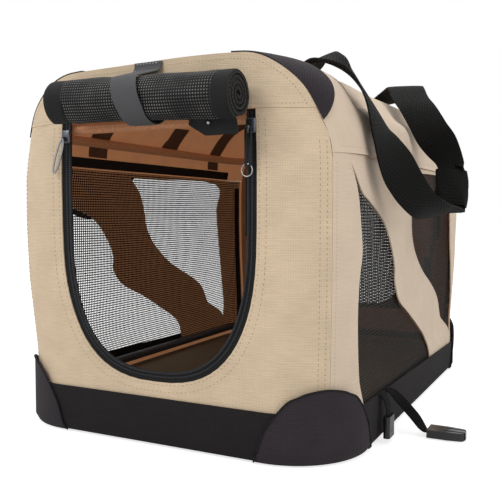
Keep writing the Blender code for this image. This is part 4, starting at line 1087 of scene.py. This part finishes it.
PULL_X, PULL_Y, PULL_Z = 0.094, -0.2517, 0.2685
for side, hand in HANDS:
    slider = f"zip_slider_{hand}"
    ride(rounded_block(f"slider_body_{hand}", (side * PULL_X, -0.2460, 0.2715), (0.0090, 0.0038, 0.0120), 0.0012,
                       zip_metal), slider, slider)
    ride(rounded_block(f"slider_lug_{hand}", (side * PULL_X, -0.2500, 0.2690), (0.0019, 0.0052, 0.0042), 0.0006,
                       zip_metal), slider)


# %% Pulls
def ring_loop(name, centre, half_w, half_h, wire_r, steps=20, sides=8):
    """A closed wire loop that hangs from its top, as an oval in the XZ plane."""
    points = []
    for turn in (2 * math.pi * i / steps for i in range(steps)):
        at = Vector((centre[0] + half_w * math.sin(turn), centre[1], centre[2] - half_h * (1 - math.cos(turn))))
        out = Vector((math.sin(turn) * half_h, 0, math.cos(turn) * half_w)).normalized()
        for a in (2 * math.pi * j / sides for j in range(sides)):
            points.append(at + out * (wire_r * math.cos(a)) + Vector((0, wire_r * math.sin(a), 0)))
    faces = [tuple(k % len(points) for k in face) for face in band_faces(steps + 1, sides)]
    return mesh_object(name, points, faces, pin_steel, angle=80)


pull_left = ring_loop("pull_loop_left", (-PULL_X, PULL_Y, PULL_Z + 0.0008), 0.0030, 0.0165, 0.0009)
edit(pull_left, lambda: bpy.ops.transform.rotate(value=math.radians(-20), orient_axis="Y",
                                                 center_override=(-PULL_X, PULL_Y, PULL_Z)))
ride(pull_left, "zip_pull_left", "zip_pull_left")
for letter, offset, nodes in (("a", -0.0019, ["zip_pull_right"]), ("b", 0.0019, [])):
    ride(rounded_block(f"pull_strip_right_{letter}", (PULL_X + offset, PULL_Y, PULL_Z - 0.0150),
                       (0.0026, 0.0014, 0.0290), 0.0006, black_plastic), "zip_pull_right", *nodes)
ride(rounded_block("pull_bar_right", (PULL_X, PULL_Y, PULL_Z), (0.0060, 0.0014, 0.0016), 0.0005, black_plastic),
     "zip_pull_right")
ride(ring_loop("pull_ring_right", (PULL_X - 0.001, PULL_Y, PULL_Z - 0.0275), 0.0048, 0.0050, 0.00055),
     "zip_pull_right")

# %% [markdown]
# ## Rolled door
# The open door is rolled up and held over the opening. Its middle is net, so its surface shows the net's dots in
# rows, and its two ends are wrapped in binding tape, where the turns of the roll can be seen. The net layers are
# too dense to model thread by thread, so the dots are raised in the material, on the roll's own UV map. The dots'
# pale colour is a painted highlight on the black threads.

# %% Net on the roll
roll_net, tree, shader = new_material("rolled_net", linear(18, 18, 19), 0.65, {"Specular IOR Level": 0.15})
_, (dot_u, dot_v) = ridges(tree, add_node(tree, "UVMap", uv_map="cloth_uv"), (0.0024, 0.0025))
raised_dots_and_highlights = add_node(tree, "MapRange", {0: maths(tree, "MULTIPLY", dot_u, dot_v), 1: 0.66, 2: 0.84})
cloud = add_node(tree, "TexNoise", {0: add_node(tree, "TexCoord", out="Object"), 2: 55.0, 3: 2.0})
fade = add_node(tree, "MapRange", {0: cloud, 1: 0.35, 2: 0.65, 3: 0.35, 4: 1.0})
# The dots are raised by the bump and painted pale: the pale colour is a painted highlight on the black net.
fill(tree, shader, {
    "Base Color": colour_ramp(tree, maths(tree, "MULTIPLY", raised_dots_and_highlights, fade), (0.0, linear(19, 19, 21)),
                              (1.0, linear(122, 120, 114))),
    "Normal": add_node(tree, "Bump", {0: 0.5, 1: 0.0006, "Height": raised_dots_and_highlights}, invert=True)})
print("rolled net material made")

# %% Wound layers
ROLL_Y, ROLL_Z, ROLL_LIP = -0.2681, 0.298, math.radians(250 + 360)
ROLL_LEFT, ROLL_RIGHT, ROLL_DROP = -0.0830, 0.0945, 0.005


def roll_axis(x):
    """The height of the roll's axis, which hangs a little lower at its right end."""
    return ROLL_Z - ROLL_DROP * (x - ROLL_LEFT) / (ROLL_RIGHT - ROLL_LEFT)


def roll_wrinkle(x, turn):
    """How much the roll's radius varies along and round it: pinched by the strap and soft elsewhere."""
    pinch = -0.0012 * math.exp(-((x / 0.020) ** 2))
    return pinch + 0.00045 * math.sin(3 * turn + 90 * x) + 0.0003 * math.sin(7 * turn - 60 * x + 1.0)


def wound(name, x_low, x_high, steps_x, start_r, end_r, turns, thick, material, soft=1.0):
    """A strip wound round the roll's axis, with thickness, from its inner end to its lip at the front and below."""
    steps, wide = int(turns * 36), 2 * (steps_x + 1)
    points, uvs, length = [], [], 0.0
    for i in range(steps + 1):
        turn = ROLL_LIP - 2 * math.pi * turns * (1 - i / steps)
        radius = start_r + (end_r - start_r) * i / steps
        length += radius * 2 * math.pi * turns / steps
        for j in range(steps_x + 1):
            x = x_low + (x_high - x_low) * j / steps_x
            hem = 0.0004 if j in (0, steps_x) else 0.0
            for layer_r in (radius - thick + hem, radius - hem):
                r = layer_r + soft * roll_wrinkle(x, turn)
                points.append((x, ROLL_Y + r * math.cos(turn), roll_axis(x) + r * math.sin(turn)))
                uvs.append((x + 0.5, length))
    pairs = [(2 * j + layer, 2 * j + 2 + layer) for j in range(steps_x) for layer in (0, 1)]
    pairs += [(2 * j, 2 * j + 1) for j in (0, steps_x)]
    faces = [(i * wide + a, i * wide + b, (i + 1) * wide + b, (i + 1) * wide + a)
             for i in range(steps) for a, b in pairs]
    for end in (0, steps * wide):
        faces += [(end + 2 * j, end + 2 * j + 2, end + 2 * j + 3, end + 2 * j + 1) for j in range(steps_x)]
    print(f"{name}: {len(faces)} faces")
    return mesh_object(name, points, faces, material, uvs, 60)


# %% Wind the roll
def roll_end_place(p):
    """Wrap for the stitches seen on the roll's right end: u runs round the axis, v is the radius."""
    turn, v, lift = p[:, 0] / p[:, 1], p[:, 1], p[:, 2]
    return np.stack([ROLL_RIGHT + 0.0002 + lift, ROLL_Y + v * np.cos(turn), roll_axis(ROLL_RIGHT) + v * np.sin(turn)],
                    axis=1)


ride(wound("rolled_door", -0.0655, 0.0810, 44, 0.0165, 0.0201, 1.6, 0.0012, roll_net), "top", "door_roll")
for name, x_low, x_high in (("roll_binding_left", ROLL_LEFT, -0.0640), ("roll_binding_right", 0.0795, ROLL_RIGHT)):
    ride(wound(name, x_low, x_high, 6, 0.0035, 0.0206, 4.2, 0.0037, binding, soft=0.4), "top")
end_rows = [[(radius * 2 * math.pi * i / 40, radius) for i in range(41)] for radius in (0.0112, 0.0160)]
ride(stitches("roll_end_stitches", end_rows, roll_end_place, grey_thread, pitch=0.0034, length=0.0014, width=0.0004),
     "top")

# %% Flap and snap dot
FLAP_PROFILE = [(-0.2775, 0.2820), (-0.2738, 0.2768), (-0.2712, 0.2725), (-0.2700, 0.2680), (-0.2704, 0.2628)]
FLAP_COLUMNS, FLAP_TOP = 13, 0.280
flap_points, flap_uvs = [], []
for i in range(FLAP_COLUMNS):
    x = 0.051 + 0.043 * i / (FLAP_COLUMNS - 1)
    drop = 0.35 + 0.65 * min(1.0, (i + 1) / 5)
    for j, (y, z) in enumerate(FLAP_PROFILE):
        flap_points.append((x, y + 0.0008 * math.sin(i * 0.9 + j), FLAP_TOP + (z - FLAP_TOP) * drop))
        flap_uvs.append((x, j * 0.0045))
flap = mesh_object("roll_flap", flap_points, band_faces(FLAP_COLUMNS, len(FLAP_PROFILE), closed=False), binding,
                   flap_uvs)
only(flap)
thicken = flap.modifiers.new("thickness", "SOLIDIFY")
thicken.thickness = 0.0014
bpy.ops.object.modifier_apply(modifier=thicken.name)
ride(smooth(edit(flap, face_out), 50), "top")

bpy.ops.object.select_all(action="DESELECT")
bpy.ops.mesh.primitive_uv_sphere_add(segments=14, ring_count=8, radius=0.0016, location=(0.0700, -0.2722, 0.2722))
snap = bpy.context.active_object
snap.name = "roll_snap"
bpy.ops.object.transform_apply(location=True, rotation=False, scale=False)
snap.data.materials.append(pin_steel)
ride(smooth(snap, 80), "top")
print("flap:", len(flap.data.polygons), "faces")

# %% Strap of the roll
STRAP_X = -0.003
TAB_SPAN = 0.0034
strap_line = [Vector((STRAP_X, y, z)) for y, z in
              ((-0.2470, 0.3298), (-0.2476, 0.3265), (-0.2490, 0.3235), (-0.2520, 0.3212))]
for degree in range(128, 341, 10):
    turn = math.radians(degree)
    r = 0.0210 if degree > 140 else 0.0212
    x = STRAP_X + 0.009 * min((degree - 128) / 80, 1.0)
    strap_line.append(Vector((x, ROLL_Y + r * math.cos(turn) * (1.0 if degree < 300 else 0.97),
                              roll_axis(x) + r * math.sin(turn))))
strap_half = [0.0140, 0.0138, 0.0134, 0.0130] + [0.0120] * (len(strap_line) - 4)
ride(strap("roll_strap_cloth", strap_line, ALONG_X, strap_half, 0.0012, charcoal, sides=8), "top", "roll_strap")


def strap_place(p):
    """Wrap for stitches on the strap's tab: u runs along X, v along the strap from its sewn end."""
    out = np.zeros_like(p)
    for i, (u, v, lift) in enumerate(p):
        t = min(max(v / TAB_SPAN, 0.0), 2.999)
        at = strap_line[int(t)].lerp(strap_line[int(t) + 1], t - int(t))
        out[i] = (u + STRAP_X, at.y - 0.0007 - lift, at.z)
    return out


tab_rows = [[(-0.0125, v), (0.0125, v)] for v in (0.0012, 0.0085)]
ride(stitches("roll_strap_stitches", tab_rows, strap_place, pale_thread, pitch=0.0032, length=0.0023, width=0.0007),
     "top")

# %% [markdown]
# ## Carry handles
# Each handle is one loop of wide webbing. Its two legs are sewn to the roof, arch over the shoulder, twist as
# they hang down, and are gathered narrow at the grip. A flat strap is swept along a smooth line with its own
# width direction at every point, because the twist is what gives webbing its look. The right grip has a wrap.

# %% Handle loops
FRONT_LEG = [
    ((0.0700, -0.105, 0.3322), (0, 1, 0), 0.021), ((0.0820, -0.105, 0.3400), (0, 1, 0), 0.021),
    ((0.0960, -0.118, 0.3450), (0.05, 0.9, 0.3), 0.021), ((0.1110, -0.138, 0.3415), (-0.05, 0.85, 0.3), 0.021),
    ((0.1290, -0.155, 0.3335), (-0.2, 0.85, 0.2), 0.021), ((0.1515, -0.166, 0.3180), (-0.22, 0.9, 0.05), 0.020),
    ((0.1680, -0.170, 0.2945), (-0.1, 1, 0), 0.020), ((0.1770, -0.169, 0.2700), (0.1, 1, 0), 0.020),
    ((0.1830, -0.162, 0.2530), (0.3, 0.9, 0.1), 0.020), ((0.1890, -0.150, 0.2370), (0.5, 0.8, 0.2), 0.019),
    ((0.1950, -0.136, 0.2220), (0.6, 0.65, 0.4), 0.0165), ((0.2010, -0.113, 0.2090), (0.6, 0.45, 0.6), 0.0145),
    ((0.2045, -0.082, 0.2040), (0.8, 0.3, 0.5), 0.0135), ((0.2065, -0.052, 0.2030), (0.9, 0.2, 0.35), 0.0135)]
REAR_LEG = [
    ((0.0700, 0.105, 0.3322), (0, 1, 0), 0.021), ((0.0850, 0.105, 0.3355), (0, 1, 0), 0.021),
    ((0.1040, 0.098, 0.3375), (0.2, 0.95, 0), 0.021), ((0.1230, 0.078, 0.3410), (0.55, 0.8, 0), 0.0205),
    ((0.1395, 0.047, 0.3425), (0.8, 0.6, 0), 0.0190), ((0.1500, 0.018, 0.3370), (0.85, 0.5, 0.05), 0.0190),
    ((0.1610, -0.006, 0.3220), (0.88, 0.45, 0.05), 0.0190), ((0.1720, -0.019, 0.3090), (0.88, 0.45, 0.05), 0.0185),
    ((0.1810, -0.024, 0.2950), (0.88, 0.45, 0), 0.0180), ((0.1880, -0.023, 0.2820), (0.89, 0.45, 0), 0.0175),
    ((0.1950, -0.016, 0.2710), (0.89, 0.45, 0), 0.0170), ((0.2008, -0.009, 0.2600), (0.89, 0.45, 0), 0.0145)]
GRIP_LOW, GRIP_HIGH = Vector((0.2075, -0.022, 0.2090)), Vector((0.2045, -0.008, 0.2450))
GRIP_AXIS, GRIP_WAY = (GRIP_HIGH - GRIP_LOW).normalized(), Vector((0.89, 0.45, 0.0))
GRIP_LEAD, GRIP_HALF, LEG_THICK, GRIP_THICK = 0.005, 0.0135, 0.0026, 0.0046
ROOT_Y, ROOT_Z, ROOT_START, ROOT_STEP = 0.105, 0.33165, 0.024, 0.0048
SPAN = 5


def spread(values):
    """Values between the given ones, eased the same way as a smooth path."""
    return [p.x for p in smooth_path([(v, 0, 0) for v in values], SPAN)]


def handle_loop(side):
    """The whole loop of one handle, front leg, grip and rear leg, as lists for a strap."""
    grip = [GRIP_LOW - GRIP_AXIS * GRIP_LEAD, GRIP_LOW, GRIP_HIGH, GRIP_HIGH + GRIP_AXIS * GRIP_LEAD]
    run = FRONT_LEG + [(point, GRIP_WAY, GRIP_HALF) for point in grip] + REAR_LEG[::-1]
    ways = []
    for _, way, _ in run:
        way = Vector(way).normalized()
        ways.append(way if not ways or way.dot(ways[-1]) >= 0 else -way)
    thick = [LEG_THICK] * len(FRONT_LEG) + [GRIP_THICK] * len(grip) + [LEG_THICK] * len(REAR_LEG)
    line = smooth_path([point for point, _, _ in run], SPAN)
    wide = [way.normalized() for way in smooth_path(ways, SPAN)]
    return ([Vector((side * p.x, p.y, p.z)) for p in line], [Vector((side * w.x, w.y, w.z)) for w in wide],
            spread([half for _, _, half in run]), spread(thick))


# %% Sew the handles
for side, hand in HANDS:
    ride(strap(f"handle_{hand}_webbing", *handle_loop(side), webbing, sides=8, ruffle=0.0006), f"handle_{hand}",
         f"carry_handle_{hand}")
    for sy, end in ENDS:
        root_line = [Vector((side * (ROOT_START + ROOT_STEP * i), sy * ROOT_Y, ROOT_Z + 0.0002 * math.sin(i)))
                     for i in range(11)]
        ride(strap(f"handle_{hand}_root_{end}", root_line, ALONG_Y, 0.0208, 0.0016, webbing, sides=6), "top")

# %% Grip wrap
GRIP_WIDE = (GRIP_WAY - GRIP_AXIS * GRIP_WAY.dot(GRIP_AXIS)).normalized()
GRIP_DEEP = GRIP_AXIS.cross(GRIP_WIDE)
GRIP_SIDES = 28


def grip_ring(t, half_wide, half_deep, fold):
    """A soft rounded-rectangle ring round the grip, with a few folds that run along it."""
    out = []
    for turn in (2 * math.pi * i / GRIP_SIDES for i in range(GRIP_SIDES)):
        c, s = (math.copysign(abs(v) ** 0.75, v) for v in (math.cos(turn), math.sin(turn)))
        swell = 1 + fold * 0.06 * math.sin(5 * turn + t * 4)
        out.append(GRIP_LOW.lerp(GRIP_HIGH, t) + GRIP_WIDE * (c * half_wide * swell)
                   + GRIP_DEEP * (s * half_deep * swell))
    return out


wrap_rings = [grip_ring(0.01, 0.0140, 0.0036, 0)]
for i in range(21):
    off = abs(i / 10 - 1) ** 3
    wrap_rings.append(grip_ring(i / 20, 0.0164 - 0.0010 * off, 0.0064 - 0.0010 * off, 1.0))
wrap_rings.append(grip_ring(0.99, 0.0140, 0.0036, 0))
ride(loft("grip_sleeve", wrap_rings, webbing), "handle_right", "grip_wrap")

# %% [markdown]
# ## Floor mat and lining tapes
# The mat is a thin pad with a raised edge roll. It is lofted in rings from its bottom round its rim, and its top
# is closed by rings that shrink towards the middle and rise to a low crown. Inside, dark tapes cover the seams.
# Under the roof lie dark brown strips with a little painted glow: the front and rear ones on each side are painted
# shadow of the handle roots that lie on the roof above, and the middle one is a strap piece sewn inside. They are
# narrow rectangles, wrapped like the cloth.

# %% Mat
MAT_HALF_W, MAT_HALF_L, MAT_R = 0.1650, 0.2420, 0.0620
MAT_PROFILE = [(0.0060, 0.0060), (0.0015, 0.0068), (0.0, 0.0100), (0.0, 0.0140), (0.0012, 0.0172), (0.0040, 0.0188),
               (0.0080, 0.0186), (0.0110, 0.0176), (0.0150, 0.0182), (0.0250, 0.0196), (0.0400, 0.0210),
               (0.0550, 0.0222)]
mat_rings = [[(x, y, z) for x, y in plan_outline(MAT_HALF_W - inset, MAT_HALF_L - inset, MAT_R - inset)]
             for inset, z in MAT_PROFILE]
mat = loft("mat", mat_rings, mat_fabric)
ride(mat, "base", "floor_mat")

# %% Dark tapes over the inner seams, and strips under the roof, mostly painted shadow
# Strips under the roof: the front and rear ones are painted shadow of the handle roots on the roof above, and the
# middle one is a strap piece sewn inside.
PAINTED_SHADOW_AND_STRAP_STRIPS = ((-0.127, -0.095, 0.062, ROOF_END_U - 0.014), (0.012, 0.048, 0.150, 0.192),
          (0.136, 0.166, 0.090, ROOF_END_U - 0.014))
under_roof = roof_place(inset=0.0016)
for side, hand in HANDS:
    seam = rectangle(side * (ROOF_END_U - 0.0125), side * (ROOF_END_U - 0.0015), -0.205, 0.205)
    ride(sewn(f"side_seam_tape_{hand}", seam, (-0.0008, 0.0), under_roof, (0.004, 0.008), binding), "top")
    for start, stop, low_u, high_u in PAINTED_SHADOW_AND_STRAP_STRIPS:
        strip = rectangle(side * low_u, side * high_u, start, stop)
        ride(sewn(f"roof_strip_{hand}_{start:.2f}", strip, (-0.0006, 0.0), under_roof, (0.005, 0.008), lining_strip),
             "top")
    for sy, end in ENDS:
        upright = rectangle(sy * 0.2205, sy * 0.2125, 0.034, 0.2380)
        crumple(sewn(f"corner_tape_{end}_{hand}", upright, (-0.0008, 0.0), side_place(side, inset=0.0034),
                     (0.004, 0.008), binding), SIDE_SEAM_Z)
